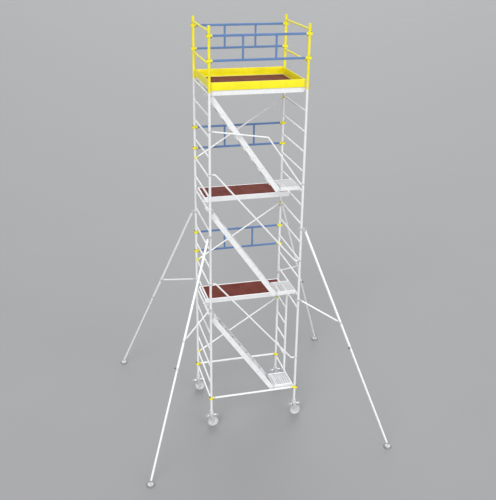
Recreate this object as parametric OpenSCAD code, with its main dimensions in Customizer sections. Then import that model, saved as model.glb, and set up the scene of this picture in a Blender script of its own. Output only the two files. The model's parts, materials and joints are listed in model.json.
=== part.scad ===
// Mobile stair tower scaffold: two ladder-frame ends, three lifts, decks, stair flights,
// guard rails, four braked castors on adjustable legs and four telescopic outriggers.
// Millimetres, +Z up. The origin lies on the ground, under the middle of the tower.
// X runs along the bay (left end is -X), Y across it (front, the stair side, is -Y).

/* [Tower] */
// Length of the bay, post centre to post centre
bay_length = 1880; // [1760:10:2200]
// Width of the end frames, post centre to post centre
bay_width = 1450; // [1450:10:1500]
// Height of one lift
lift = 2300; // [2280:5:2320]
// Distance between rungs
rung_pitch = 400; // [396:1:402]
// Height of the lowest deck-bearing rung above the ground
first_deck = 2670; // [2660:5:2700]
// Height of a frame's top edge above its deck-bearing rung
joint_above_rung = 30; // [28:1:40]
// Height of the guard frame above the last frame joint
guard_height = 1190; // [1180:5:1250]

/* [Tubes] */
// Outer diameter of the frame posts
post_d = 50.8; // [50:0.1:51]
// Wall of the posts
post_wall = 2.2; // [2:0.1:2.4]
// Outer diameter of the rungs
rung_d = 38; // [36:1:40]
// Wall of the rungs
rung_wall = 2; // [1.6:0.1:2.4]
// Outer diameter of the diagonal braces, struts and handrails
brace_d = 34; // [30:1:36]
// Outer diameter of the base ledgers
ledger_d = 44; // [38:1:45]

/* [Decks] */
// Height of the walking surface above the deck-bearing rung
deck_rise = 60; // [56:1:64]
// Depth of the deck side beams
beam_depth = 95; // [90:1:100]
// Width of the deck side beams
beam_t = 28; // [26:1:30]
// Thickness of the deck boards
board_t = 12; // [10:1:14]
// Width of one deck, over its side beams
deck_width = 660; // [640:5:660]
// Height of the toe boards
toe_height = 150; // [140:5:160]
// Length of the hatch in the top deck
hatch_length = 1200; // [1100:10:1200]

/* [Stairs] */
// Rise from a bearing rung at the foot of a flight to the landing surface
landing_rise = 80; // [76:1:84]
// Distance from the tower's middle to where the flight meets its landing
flight_foot_x = 445; // [430:5:460]
// Depth of the stringers
stringer_depth = 100; // [95:1:105]
// Number of treads in one flight
tread_count = 8; // [7:1:9]
// Depth of a tread
tread_depth = 120; // [110:5:125]

/* [Rails] */
// Height of the upper guard rail above the deck-bearing rung at the top
guard_high = 1045; // [1040:1:1050]
// Distance between the two rails of a guard rail panel
guard_gap = 437; // [430:1:440]
// Height of the upper rail of a lower panel above its deck-bearing rung
panel_high = 1341; // [1335:1:1350]
// Height of a guard rail tube
rail_h = 45; // [40:1:50]
// Thickness of a guard rail tube
rail_t = 25; // [20:1:28]

/* [Outriggers] */
// Distance of a foot from the middle of the tower, along X
foot_x = 2510; // [2400:10:2550]
// Distance of a foot from the middle of the tower, along Y
foot_y = 2330; // [2250:10:2400]
// Height of the upper clamp
clamp_z = 4480; // [4440:5:4500]
// Height of the lower clamp
strut_z = 2870; // [2860:5:2880]
// Radius of a foot pad
foot_r = 85; // [60:5:90]

/* [Castors] */
// Diameter of a wheel
wheel_d = 250; // [230:5:250]
// Width of the tyre
wheel_w = 50; // [44:2:50]
// Distance from the swivel axis to the wheel axle
trail = 30; // [25:5:35]

/* [Hidden] */
$fn = 48;
SIDES = ["left", "right"];
CORNERS = ["lf", "rf", "lb", "rb"];
LEVELS = ["low", "mid", "top"];

// Shared gaps: between pieces welded or screwed together, and between moving pieces
seam = 0.2;
clear = 0.4;
eps = 1;

X = bay_length / 2;
Y = bay_width / 2;
post_r = post_d / 2;
bore_r = post_r - post_wall;
rung_r = rung_d / 2;
rungs_per_frame = 6;

function deck_z(k) = first_deck + k * lift;
function joint_z(k) = deck_z(k) + joint_above_rung;
base_z = joint_z(0) - lift;
foot_rung_z = first_deck - (rungs_per_frame - 1) * rung_pitch;
landing_rung_gap = lift - (rungs_per_frame - 1) * rung_pitch;

// The walk-through end frame has a second, inner post
mid_post_y = 60;
spigot_len = 120;
ledger_z = foot_rung_z + 48;

// Claws: ring round the post, neck, and the slot its trigger slides in
claw_r = 34;
claw_h = 56;
jaw_tip = 46;
neck_end = 62;
trigger_travel = 8;
rung_claw_r = 27;
brace_y = Y - 57;
brace_rungs_up = 3;

// Decks
back_y0 = 5;
front_y0 = -back_y0 - deck_width;
beam_x = X - 35;
end_strip = 25;
hook_r = rung_r + 7;
hatch_x0 = -beam_x + 28;
hatch_t = 16;
hatch_gap = 3;
hinge_y = front_y0 + beam_t + 5;
hinge_r = 5;
hinge_pin_r = 2.5;
barrel_len = 60;
toe_t = 20;

// Stairs
stair_y0 = front_y0 + 40;
stair_w = 490;
stringer_t = 25;

// Outriggers, worked out in the vertical plane through post and foot
reach = norm([foot_x - X, foot_y - Y]);
splay = atan2(foot_y - Y, foot_x - X);
leg_top = [80, clamp_z - 15];
pivot_z = 60;
leg_end = [reach, pivot_z];
leg_len = norm(leg_end - leg_top);
leg_dir = (leg_end - leg_top) / leg_len;
lean = acos(-leg_dir[1]);
strut_at = 0.42 * leg_len;
outer_len = 0.54 * leg_len;
inner_from = 0.42 * leg_len + 60;
inner_r = bore_r - 0.6;

// Castors
wheel_r = wheel_d / 2;
axle_r = 8;
flange_z = wheel_d + 82;
king_r = 10;
cheek_y = 32;
cheek_t = 5;
brake_pivot = [20, flange_z - 46];
brake_pin_r = 5;
run_fit = 0.06;

corner_sign = [[-1, -1], [1, -1], [-1, 1], [1, 1]];

// ---------- shared shapes ----------

// Places children, drawn along +Z from the origin, so that they run from a to b
module along(a, b) {
    d = b - a;
    translate(a) rotate([0, acos(d[2] / norm(d)), atan2(d[1], d[0])]) children();
}

module pipe(h, d, wall) {
    difference() {
        cylinder(h = h, d = d);
        translate([0, 0, -eps]) cylinder(h = h + 2 * eps, d = d - 2 * wall);
    }
}

module tube(a, b, d, wall) {
    along(a, b) pipe(norm(b - a), d, wall);
}

module ring(r_out, r_in, h) {
    difference() {
        cylinder(h = h, r = r_out, center = true);
        cylinder(h = h + 2 * eps, r = r_in, center = true);
    }
}

// A cylinder along Y, centred on the origin
module rod_y(r, h) {
    rotate([90, 0, 0]) cylinder(h = h, r = r, center = true);
}

// ---------- end frames ----------

module post(x, y, z, h, spigot) {
    translate([x, y, z]) {
        difference() {
            cylinder(h = h, r = post_r);
            translate([0, 0, -eps]) cylinder(h = h + 2 * eps, r = bore_r);
        }
        if (spigot) translate([0, 0, h - spigot_len]) difference() {
            union() {
                cylinder(h = spigot_len, r = bore_r + 0.1);
                cylinder(h = 2 * spigot_len, r = bore_r - clear);
            }
            translate([0, 0, -eps]) cylinder(h = 2 * spigot_len + 2 * eps, r = bore_r - 3);
        }
    }
}

// A rung along Y, coped to the posts at its ends
module rung(x, z, ya, yb, d = rung_d) {
    difference() {
        tube([x, ya, z], [x, yb, z], d, rung_wall);
        for (y = [ya, yb]) translate([x, y, z - rung_d]) cylinder(h = 2 * rung_d, r = post_r + seam);
    }
}

// The sprung clip that locks a frame joint, lying round the post above the joint
module joint_clip(x, y, z) {
    translate([x, y, z + 22]) difference() {
        union() {
            cylinder(h = 10, r = post_r + 4);
            translate([-sign(x) * (post_r + 4), 0, 5]) cube([18, 12, 10], center = true);
        }
        translate([0, 0, -eps]) cylinder(h = 10 + 2 * eps, r = post_r + seam);
    }
}

module frame_posts(side, k) {
    for (s = [-1, 1]) {
        post(side * X, s * Y, joint_z(k) - lift, lift, true);
        joint_clip(side * X, s * Y, joint_z(k));
    }
}

module ladder_frame(side, k) {
    color("whitesmoke") {
        frame_posts(side, k);
        for (j = [0 : rungs_per_frame - 1]) rung(side * X, deck_z(k) - j * rung_pitch, -Y, Y);
    }
}

// Winged nut under a base post, through which the castor's leg slides
module leg_nut(x, y) {
    translate([x, y, base_z - 27]) difference() {
        union() {
            cylinder(h = 27 - seam, r = post_r + 7);
            for (a = [45, 135]) translate([0, 0, 11]) rotate(a) cube([96, 12, 18], center = true);
        }
        translate([0, 0, -eps]) cylinder(h = 30, r = bore_r - clear);
    }
}

module base_frame_left() {
    ladder_frame(-1, 0);
    color("silver") for (s = [-1, 1]) leg_nut(-X, s * Y);
}

module base_frame_right() {
    color("whitesmoke") {
        frame_posts(1, 0);
        for (z = [deck_z(0), foot_rung_z]) rung(X, z, -Y, Y);
        for (j = [1 : rungs_per_frame - 2]) rung(X, deck_z(0) - j * rung_pitch, mid_post_y, Y);
        difference() {
            tube([X, mid_post_y, foot_rung_z], [X, mid_post_y, deck_z(0)], post_d, post_wall);
            for (z = [deck_z(0), foot_rung_z]) translate([X, mid_post_y, z]) rod_y(rung_r + seam, 2 * post_d);
        }
    }
    color("silver") for (s = [-1, 1]) leg_nut(X, s * Y);
}

guard_cross = [guard_height - 100, guard_height - 680];

module guard_frame(side) {
    color("gold") {
        for (s = [-1, 1]) {
            post(side * X, s * Y, joint_z(2), guard_height, false);
            translate([side * X, s * Y, joint_z(2) + guard_height]) {
                translate([0, 0, -12]) cylinder(h = 12 + seam, r = bore_r - seam);
                translate([0, 0, seam]) cylinder(h = 3, r = post_r);
            }
        }
        for (h = guard_cross) rung(side * X, joint_z(2) + h, -Y, Y);
    }
}

// ---------- ledgers, braces and claws ----------

module base_ledgers() {
    color("whitesmoke") for (s = [-1, 1])
        tube([-X + neck_end + seam, s * Y, ledger_z], [X - neck_end - seam, s * Y, ledger_z], ledger_d, 2);
}

function brace_a(k) = [-X, brace_y, deck_z(k) - (brace_rungs_up + 1) * rung_pitch];
function brace_b(k) = [X, brace_y, deck_z(k) - rung_pitch];
brace_angle = atan2(brace_rungs_up * rung_pitch, 2 * X);

module brace(k) {
    dir = (brace_b(k) - brace_a(k)) / norm(brace_b(k) - brace_a(k));
    color("whitesmoke") tube(brace_a(k) + 60 * dir, brace_b(k) - 60 * dir, brace_d, 2);
}

// Claw round a post, open on its far side; +X points along the rail it holds
module post_claw() {
    difference() {
        union() {
            cylinder(h = claw_h, r = claw_r, center = true);
            translate([-jaw_tip, 1 - claw_r, -claw_h / 2]) cube([jaw_tip, 2 * claw_r - 2, claw_h]);
            translate([claw_r - 10, -18, -22]) cube([neck_end - claw_r + 10, 36, 44]);
        }
        cylinder(h = claw_h + 2 * eps, r = post_r + seam, center = true);
        translate([-jaw_tip - eps, -post_r - 1, -claw_h]) cube([jaw_tip + eps, 2 * post_r + 2, 2 * claw_h]);
        translate([claw_r + 2, -6.4, -claw_h / 2 - eps]) cube([neck_end - claw_r, 12.8, 20]);
    }
}

module claw_trigger() {
    translate([claw_r + 3, -6, -claw_h / 2 - 12]) cube([16, 12, 30]);
    translate([claw_r + 3, -9, -claw_h / 2 - 12]) cube([16, 18, 8]);
}

// Claw over a rung; +X points along the brace it holds
module rung_claw() {
    difference() {
        union() {
            rod_y(rung_claw_r, 34);
            translate([rung_claw_r - 10, -16, -17]) cube([60 - rung_claw_r + 10 - seam, 32, 34]);
        }
        rod_y(rung_r + seam, 36);
    }
}

// Heights of every post claw on the back posts and on the front posts
back_claws = [ledger_z, rail_z(0, 1), rail_z(0, 0), rail_z(1, 1), rail_z(1, 0), rail_z(2, 1), rail_z(2, 0)];
front_claws = [ledger_z, rail_z(2, 1), rail_z(2, 0)];

// Upper (j = 0) or lower (j = 1) rail of the panel on level k
function rail_z(k, j) = deck_z(k) + (k == 2 ? guard_high : panel_high) - j * guard_gap;

// Repeats children, drawn pointing along +X, at the post claws of one end
module at_post_claws(side) {
    for (z = back_claws) translate([side * X, Y, z]) rotate(side > 0 ? 180 : 0) children();
    for (z = front_claws) translate([side * X, -Y, z]) rotate(side > 0 ? 180 : 0) children();
}

module claws() {
    color("gold") {
        for (side = [-1, 1]) at_post_claws(side) post_claw();
        for (k = [0 : 2]) {
            translate(brace_a(k)) rotate([0, -brace_angle, 0]) rung_claw();
            translate(brace_b(k)) rotate([0, 180 - brace_angle, 0]) rung_claw();
        }
    }
}

module claw_triggers(side) {
    color("dimgray") at_post_claws(side) claw_trigger();
}

// ---------- guard rails ----------

module box_tube_x(xa, xb, y, z, h, t, wall) {
    translate([xa, y - t / 2, z - h / 2]) difference() {
        cube([xb - xa, t, h]);
        translate([-eps, wall, wall]) cube([xb - xa + 2 * eps, t - 2 * wall, h - 2 * wall]);
    }
}

module guardrail(k, side_y) {
    rail_end = X - neck_end - seam;
    color("steelblue") {
        for (j = [0, 1]) box_tube_x(-rail_end, rail_end, side_y * Y, rail_z(k, j), rail_h, rail_t, 1.8);
        for (s = [-1, 1]) translate([s * bay_length / 6 - 18, side_y * Y - rail_t / 2, rail_z(k, 1) + rail_h / 2 + seam])
            difference() {
                cube([36, rail_t, guard_gap - rail_h - 2 * seam]);
                translate([2, 2, -eps]) cube([32, rail_t - 4, guard_gap]);
            }
    }
}

// ---------- decks ----------

// Hook over a rung at the origin, joined to a beam that ends 35 from the rung's axis on the +X side
module rung_hook(width, reach_x = 36) {
    difference() {
        union() {
            rod_y(hook_r, width);
            translate([0, -width / 2, 0]) cube([reach_x, width, hook_r]);
        }
        rod_y(rung_r + seam, width + 2 * eps);
        translate([-hook_r - eps, -width, -hook_r - eps]) cube([2 * hook_r + 2 * eps, 2 * width, hook_r - 4]);
    }
}

// Side beam: a channel open towards the deck (open_to is +1 or -1 along Y), hooked over both rungs
module side_beam(k, y, open_to) {
    translate([0, y, deck_z(k)]) {
        difference() {
            translate([-beam_x, -beam_t / 2, deck_rise - beam_depth]) cube([2 * beam_x, beam_t, beam_depth]);
            translate([-beam_x + 4, -beam_t / 2 + open_to * 3, deck_rise - beam_depth + 3])
                cube([2 * beam_x - 8, beam_t, beam_depth - 6]);
        }
        for (s = [-1, 1]) translate([s * X, 0, 0]) rotate(s > 0 ? 180 : 0) rung_hook(beam_t);
    }
}

module cross_member(k, x, ya, yb) {
    translate([x - 15, ya + seam, deck_z(k) + deck_rise - board_t - 30 - seam]) difference() {
        cube([30, yb - ya - 2 * seam, 30]);
        translate([2, -eps, 2]) cube([26, yb - ya + 2 * eps, 26]);
    }
}

module deck_frame(k, y0, cross_x) {
    y1 = y0 + deck_width;
    color("whitesmoke") {
        side_beam(k, y0 + beam_t / 2, 1);
        side_beam(k, y1 - beam_t / 2, -1);
        for (x = cross_x) cross_member(k, x, y0 + beam_t, y1 - beam_t);
        for (x = cross_x[0] < 0 ? [-beam_x, beam_x - end_strip] : [beam_x - end_strip])
            translate([x, y0 + beam_t + seam, deck_z(k) + deck_rise - board_t])
                cube([end_strip, deck_width - 2 * beam_t - 2 * seam, board_t]);
    }
}

full_cross = [for (i = [-2 : 2]) i * (beam_x - 20) / 2];
hatch_x1 = hatch_x0 + hatch_length;
short_x0 = hatch_x1 + hatch_gap;

// Plate that carries the hatch's edge; the hatch lies on it when shut
module hatch_ledge() {
    z = deck_z(2) + deck_rise - hatch_t - clear - 4;
    translate([hatch_x0, back_y0 * -1 - beam_t - 14, z]) cube([hatch_length, 14 - seam, 4]);
    translate([-beam_x, front_y0 + beam_t + seam, deck_z(2) + deck_rise - 26])
        cube([hatch_x0 - hatch_gap + beam_x, deck_width - 2 * beam_t - 2 * seam, 26]);
}

module deck_frame_top() {
    deck_frame(2, back_y0, full_cross);
    deck_frame(2, front_y0, [short_x0 + 16, (short_x0 + beam_x) / 2, beam_x - 20]);
    color("whitesmoke") hatch_ledge();
    color("silver") at_hinges() hinge_fixed();
}

module deck_board(k, x0, y0) {
    color("saddlebrown") translate([x0, y0 + beam_t + seam, deck_z(k) + deck_rise - board_t])
        cube([beam_x - end_strip - seam - x0, deck_width - 2 * beam_t - 2 * seam, board_t]);
}

module deck_board_top() {
    deck_board(2, -beam_x + end_strip + seam, back_y0);
    deck_board(2, short_x0, front_y0);
}

// Repeats children at the three hinges, with the hinge axis along +X from the origin
module at_hinges() {
    for (i = [-1 : 1])
        translate([hatch_x0 + hatch_length / 2 + i * hatch_length / 3, hinge_y, deck_z(2) + deck_rise + hinge_r])
            children();
}

module rod_x(r, h) {
    rotate([0, 90, 0]) cylinder(h = h, r = r, center = true);
}

// Fixed leaf on the side beam: two knuckles and the hinge pin
module hinge_fixed() {
    rod_x(hinge_pin_r, 88);
    for (s = [-1, 1]) translate([s * (barrel_len / 2 + 7), 0, 0]) {
        rod_x(hinge_r, 12);
        translate([-6, -28, seam - hinge_r]) cube([12, 28, 3]);
    }
}

// Moving leaf on the hatch: the barrel that turns on the pin
module hinge_barrel() {
    difference() {
        union() {
            rod_x(hinge_r, barrel_len);
            translate([-barrel_len / 2, 0, seam - hinge_r]) cube([barrel_len, 60, 3]);
        }
        rod_x(hinge_pin_r + run_fit, barrel_len + 2 * eps);
    }
}

module hatch() {
    color("saddlebrown") translate([hatch_x0, hinge_y + hinge_r + 2, deck_z(2) + deck_rise - hatch_t])
        cube([hatch_length, -back_y0 - beam_t - hatch_gap - hinge_y - hinge_r - 2, hatch_t]);
    color("silver") at_hinges() hinge_barrel();
}

module toe_boards() {
    z = deck_z(2) + deck_rise + seam;
    color("gold") {
        for (s = [-1, 1]) {
            translate([-X + post_r + 6, s * (-front_y0 + 3 + toe_t / 2) - toe_t / 2, z])
                cube([2 * (X - post_r - 6), toe_t, toe_height]);
            translate([s * (beam_x - 12) - toe_t / 2, front_y0, z]) cube([toe_t, -2 * front_y0, toe_height]);
        }
    }
}

// ---------- stairs ----------

function landing_z(k) = foot_rung_z + k * lift + landing_rise;
function flight_a(k) = [flight_foot_x, landing_z(k) - 45];
function flight_b(k) = [-X + 52, deck_z(k) - 71];
flight_len = norm(flight_b(0) - flight_a(0));
flight_angle = atan2(flight_b(0)[1] - flight_a(0)[1], flight_a(0)[0] - flight_b(0)[0]);

// One stringer, a channel open towards the treads, hooked over the left rung
module stringer(k, y, open_to) {
    translate([flight_a(k)[0], y, flight_a(k)[1]]) rotate([0, 180 + flight_angle, 0]) difference() {
        translate([-20, 0, -stringer_depth / 2]) cube([flight_len + 20, stringer_t, stringer_depth]);
        translate([-16, open_to * 3, -stringer_depth / 2 + 3]) cube([flight_len + 12, stringer_t, stringer_depth - 6]);
    }
}

module stair_hook(k, y) {
    translate([-X, y + stringer_t / 2, deck_z(k)]) {
        rung_hook(stringer_t - 2, 90);
        rotate([90, 0, 0]) linear_extrude(stringer_t - 4, center = true)
            polygon([[30, -22], [84, -22], [105, -66], [72, -92], [26, -78]]);
    }
}

module landing_beam(k, y) {
    landing_x = flight_foot_x + 62;
    translate([landing_x, y, landing_z(k) - 70]) cube([beam_x - landing_x, stringer_t, 70 - seam]);
    translate([X, y + stringer_t / 2, foot_rung_z + k * lift]) rotate(180) rung_hook(stringer_t);
}

// Tread: a folded tray between the stringers
module tread(k, i) {
    z = landing_z(k) + i * (deck_z(k) + deck_rise - landing_z(k)) / (tread_count + 1);
    x = flight_foot_x - (z - landing_z(k) + 30) / tan(flight_angle);
    translate([x - tread_depth / 2, stair_y0 + stringer_t + seam, z - 30]) difference() {
        cube([tread_depth, stair_w - 2 * stringer_t - 2 * seam, 30]);
        translate([2.5, 2.5, -eps]) cube([tread_depth - 5, stair_w - 2 * stringer_t - 5, 28.5]);
    }
}

module landing_plate(k) {
    plate_x = flight_foot_x + 30;
    translate([plate_x, stair_y0 + stringer_t + seam, landing_z(k) - 30]) difference() {
        cube([beam_x - plate_x, stair_w - 2 * stringer_t - 2 * seam, 30]);
        translate([2.5, 2.5, -eps]) cube([beam_x - plate_x - 5, stair_w - 2 * stringer_t - 5, 28.5]);
    }
}

module stair(k) {
    y1 = stair_y0 + stair_w - stringer_t;
    color("gainsboro") {
        stringer(k, stair_y0, 1);
        stringer(k, y1, -1);
        for (y = [stair_y0, y1]) {
            stair_hook(k, y);
            landing_beam(k, y);
        }
        for (i = [1 : tread_count]) tread(k, i);
        landing_plate(k);
    }
}

// ---------- stair handrails ----------

// Half ring that hooks a handrail to the outer face of a front post
module rail_hook(side, z) {
    translate([side * X, -Y, z]) difference() {
        union() {
            cylinder(h = 36, r = post_r + 6, center = true);
            translate([-side * (post_r + 6), 0, 0]) cube([24, 20, 30], center = true);
        }
        cylinder(h = 38, r = post_r + seam, center = true);
        translate([-2 * post_r, 12, -20]) cube([4 * post_r, 2 * post_r, 40]);
        translate([side > 0 ? 10 : -60, -60, -20]) cube([50, 60, 40]);
    }
}

// A bent tube in the front plane: straight lengths that meet at round bends
module bent_rail(points) {
    last = len(points) - 1;
    bend = brace_d / 2 + seam;
    for (i = [1 : last]) {
        a = [points[i - 1][0], -Y, points[i - 1][1]];
        b = [points[i][0], -Y, points[i][1]];
        dir = (b - a) / norm(b - a);
        tube(a + (i > 1 ? bend : 0) * dir, b - (i < last ? bend : 0) * dir, brace_d, 2);
        if (i < last) translate(b) sphere(d = brace_d);
    }
}

rail_end_x = X - post_r - 19;
handrail_top = 770;
handrail_foot = -1190;
guide_rail = [[-rail_end_x, -690], [200, -857], [rail_end_x - 40, -1800], [rail_end_x, -1840]];

module stair_handrails() {
    color("whitesmoke") for (k = [0, 1]) {
        bent_rail([[-rail_end_x, deck_z(k) + handrail_top], [-rail_end_x + 60, deck_z(k) + handrail_top],
            [rail_end_x - 60, deck_z(k) + handrail_foot], [rail_end_x, deck_z(k) + handrail_foot]]);
        rail_hook(-1, deck_z(k) + handrail_top);
        rail_hook(1, deck_z(k) + handrail_foot);
    }
}

module top_handrail() {
    color("whitesmoke") {
        bent_rail([for (p = guide_rail) [p[0], deck_z(2) + p[1]]]);
        rail_hook(-1, deck_z(2) + guide_rail[0][1]);
        rail_hook(1, deck_z(2) + guide_rail[3][1]);
    }
}

// ---------- castors ----------

module at_post(c) {
    translate([corner_sign[c][0] * X, corner_sign[c][1] * Y, 0]) children();
}

module castor_leg(c) {
    color("silver") at_post(c) {
        difference() {
            union() {
                translate([0, 0, flange_z]) cylinder(h = 420, r = bore_r - 2 * clear);
                translate([0, 0, flange_z]) cylinder(h = 9, r = 44);
            }
            translate([0, 0, flange_z + 20]) cylinder(h = 420, r = bore_r - 5);
        }
        translate([0, 0, flange_z - 24]) cylinder(h = 26, r = king_r);
    }
}

module cheek() {
    rotate([90, 0, 0]) linear_extrude(cheek_t) difference() {
        union() {
            polygon([[-34, flange_z - 22], [-34, flange_z - 40], [trail - 22, wheel_r],
                [trail + 22, wheel_r], [46, flange_z - 40], [46, flange_z - 22]]);
            translate([trail, wheel_r]) circle(r = 22);
        }
        translate([trail, wheel_r]) circle(r = axle_r + seam);
        translate(brake_pivot) circle(r = brake_pin_r + run_fit);
    }
}

module castor_fork(c) {
    color("lightgray") at_post(c) {
        difference() {
            translate([0, 0, flange_z - 21.5]) cylinder(h = 21, r = 46);
            translate([0, 0, flange_z - 23]) cylinder(h = 24, r = king_r + run_fit);
        }
        translate([0, -cheek_y, 0]) cheek();
        translate([0, cheek_y + cheek_t, 0]) cheek();
        translate([trail, 0, wheel_r]) rod_y(axle_r, 2 * cheek_y + 2 * cheek_t + 16);
        for (s = [-1, 1]) translate([trail, s * (cheek_y + cheek_t + 4 + seam), wheel_r]) rod_y(13, 8);
    }
}

module castor_wheel(c) {
    hub = cheek_y - 1.5;
    rim = wheel_r - 22;
    color("gray") at_post(c) translate([trail, 0, wheel_r]) rotate([90, 0, 0]) rotate_extrude($fn = 72)
        polygon([[axle_r + run_fit, -hub], [20, -hub], [24, -18], [rim - 8, -14], [rim, -wheel_w / 2],
            [wheel_r - 8, -wheel_w / 2], [wheel_r - 1, -wheel_w / 2 + 8], [wheel_r, 0],
            [wheel_r - 1, wheel_w / 2 - 8], [wheel_r - 8, wheel_w / 2], [rim, wheel_w / 2],
            [rim - 8, 14], [24, 18], [20, hub], [axle_r + run_fit, hub]]);
}

module castor_brake(c) {
    color("firebrick") at_post(c) translate([brake_pivot[0], 0, brake_pivot[1]]) {
        rod_y(brake_pin_r, 2 * cheek_y + 2 * cheek_t + 4);
        translate([0, -26, -4]) cube([92, 52, 7]);
        translate([80, -34, -4]) cube([50, 68, 7]);
        translate([44, -16, -22]) cube([22, 32, 20]);
        translate([-90, -22, -10]) cube([92, 44, 7]);
        translate([-140, -34, -10]) cube([56, 68, 7]);
    }
}

// ---------- outriggers ----------

// Draws children with +X pointing from the post to the foot
module outrigger_frame(c) {
    s = corner_sign[c];
    translate([s[0] * X, s[1] * Y, 0]) rotate(atan2(s[1] * sin(splay), s[0] * cos(splay))) children();
}

function leg_at(t) = [leg_top[0] + t * leg_dir[0], 0, leg_top[1] + t * leg_dir[1]];

module tube_clamp(z, lug) {
    translate([0, 0, z]) difference() {
        union() {
            cylinder(h = 60, r = post_r + 10, center = true);
            translate([post_r + 4, -11, -22]) cube([lug - post_r - 4, 22, 44]);
            translate([-post_r - 22, -14, -15]) cube([24, 28, 30]);
        }
        cylinder(h = 62, r = post_r + clear, center = true);
    }
}

module outrigger(c) {
    end = leg_at(strut_at);
    from = [70, 0, strut_z];
    strut_dir = (end - from) / norm(end - from);
    color("whitesmoke") outrigger_frame(c) {
        tube_clamp(clamp_z, 53);
        tube_clamp(strut_z, 62);
        tube(leg_at(0), leg_at(outer_len), post_d, post_wall);
        tube(from, end - (post_r + 38) * strut_dir, brace_d, 2);
        along(leg_at(strut_at - 30), leg_at(strut_at + 30)) translate([0, 0, 30]) ring(post_r + 6, post_r + seam, 60);
        along(leg_at(outer_len - 60), leg_at(outer_len)) translate([0, 0, 30]) ring(post_r + 6, post_r + seam, 56);
    }
}

module outrigger_inner(c) {
    color("whitesmoke") outrigger_frame(c) {
        along(leg_at(inner_from), leg_at(leg_len)) {
            pipe(leg_len - inner_from - 42, 2 * inner_r, 2.2);
            translate([0, 0, leg_len - inner_from - 48]) cylinder(h = 14, r = inner_r);
            translate([-14, -10, leg_len - inner_from - 40]) difference() {
                union() {
                    cube([28, 20, 40]);
                    translate([14, 10, 40]) rod_y(14, 20);
                }
                translate([14, 10, 40]) rod_y(6 + run_fit, 24);
            }
        }
    }
}

module outrigger_foot(c) {
    color("dimgray") outrigger_frame(c) translate([leg_end[0], 0, 0]) {
        cylinder(h = 10, r = foot_r);
        translate([0, 0, 9]) cylinder(h = 35, r1 = foot_r - 6, r2 = foot_r - 42);
        for (s = [-1, 1]) translate([-14, s * 14 - 3, 20]) cube([28, 6, pivot_z - 20 + 12]);
        translate([0, 0, pivot_z]) rod_y(6, 36);
    }
}

base_frame_left();
base_frame_right();
for (i = [0, 1]) {
    side = 2 * i - 1;
    ladder_frame(side, 1);
    ladder_frame(side, 2);
    guard_frame(side);
    claw_triggers(side);
}
base_ledgers();
claws();
for (k = [0 : 2]) {
    brace(k);
    guardrail(k, 1);
    stair(k);
}
guardrail(2, -1);  // guardrail_top_front
for (k = [0, 1]) {
    deck_frame(k, back_y0, full_cross);
    deck_board(k, -beam_x + end_strip + seam, back_y0);
}
deck_frame_top();
deck_board_top();
hatch();
toe_boards();
stair_handrails();
top_handrail();
for (c = [0 : 3]) {
    castor_leg(c);
    castor_fork(c);
    castor_wheel(c);
    castor_brake(c);
    outrigger(c);
    outrigger_inner(c);
    outrigger_foot(c);
}
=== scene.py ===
import json
import math

import bmesh
import bpy
from mathutils import Matrix, Vector


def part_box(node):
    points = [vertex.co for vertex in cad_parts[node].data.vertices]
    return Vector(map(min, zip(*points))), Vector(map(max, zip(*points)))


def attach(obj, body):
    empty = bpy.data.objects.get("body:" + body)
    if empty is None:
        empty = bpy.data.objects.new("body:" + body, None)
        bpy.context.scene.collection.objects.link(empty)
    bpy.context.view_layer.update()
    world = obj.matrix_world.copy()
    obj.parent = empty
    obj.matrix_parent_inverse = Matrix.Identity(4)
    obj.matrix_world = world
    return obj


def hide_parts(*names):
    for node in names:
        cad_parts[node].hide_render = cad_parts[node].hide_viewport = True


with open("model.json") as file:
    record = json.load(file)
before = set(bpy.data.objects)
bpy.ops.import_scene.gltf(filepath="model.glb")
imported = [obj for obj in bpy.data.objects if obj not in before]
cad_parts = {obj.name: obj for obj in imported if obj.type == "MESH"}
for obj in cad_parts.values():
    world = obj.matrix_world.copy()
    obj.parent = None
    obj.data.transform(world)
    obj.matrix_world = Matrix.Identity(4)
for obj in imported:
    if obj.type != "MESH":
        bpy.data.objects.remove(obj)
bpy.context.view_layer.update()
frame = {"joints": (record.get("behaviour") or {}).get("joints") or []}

# ---------------------------------------------------------------------------
# Driving dimensions, in metres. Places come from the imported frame.
# ---------------------------------------------------------------------------

JOINTS = {j["name"]: j for j in frame["joints"]}
CORNERS = {"lf": (-1, -1), "rf": (1, -1), "lb": (-1, 1), "rb": (1, 1)}
LEVELS = ("low", "mid", "top")
SIDES = {"left": -1, "right": 1}

X, Y = JOINTS["castor_swivel_rb"]["pos_m"][:2]
POST_R = 0.0254
BORE_R = 0.0232
RUNG_R = 0.019
BRACE_R = 0.017
DECK_RISE = 0.060
RUNG_PITCH = 0.400
RUNGS = 6
DECKS = [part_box("deck_board_" + level)[1][2] for level in LEVELS]
DECK_RUNGS = [z - DECK_RISE for z in DECKS]
LIFT = DECK_RUNGS[1] - DECK_RUNGS[0]
JOINTS_Z = [z + 0.030 for z in DECK_RUNGS]
FOOT_RUNG_Z = DECK_RUNGS[0] - (RUNGS - 1) * RUNG_PITCH
BASE_Z = JOINTS_Z[0] - LIFT
GUARD_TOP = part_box("guard_frame_left")[1][2] - 0.0032
SPIGOT = 0.120
MID_POST_Y = 0.060

# ---------------------------------------------------------------------------
# Materials: every one is procedural, in object coordinates
# ---------------------------------------------------------------------------


def lerp_colour(base, amount):
    """base made darker (amount below 0) or lighter (above 0)."""
    return tuple(min(1.0, max(0.0, c * (1 + amount))) for c in base[:3]) + (1.0,)


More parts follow.
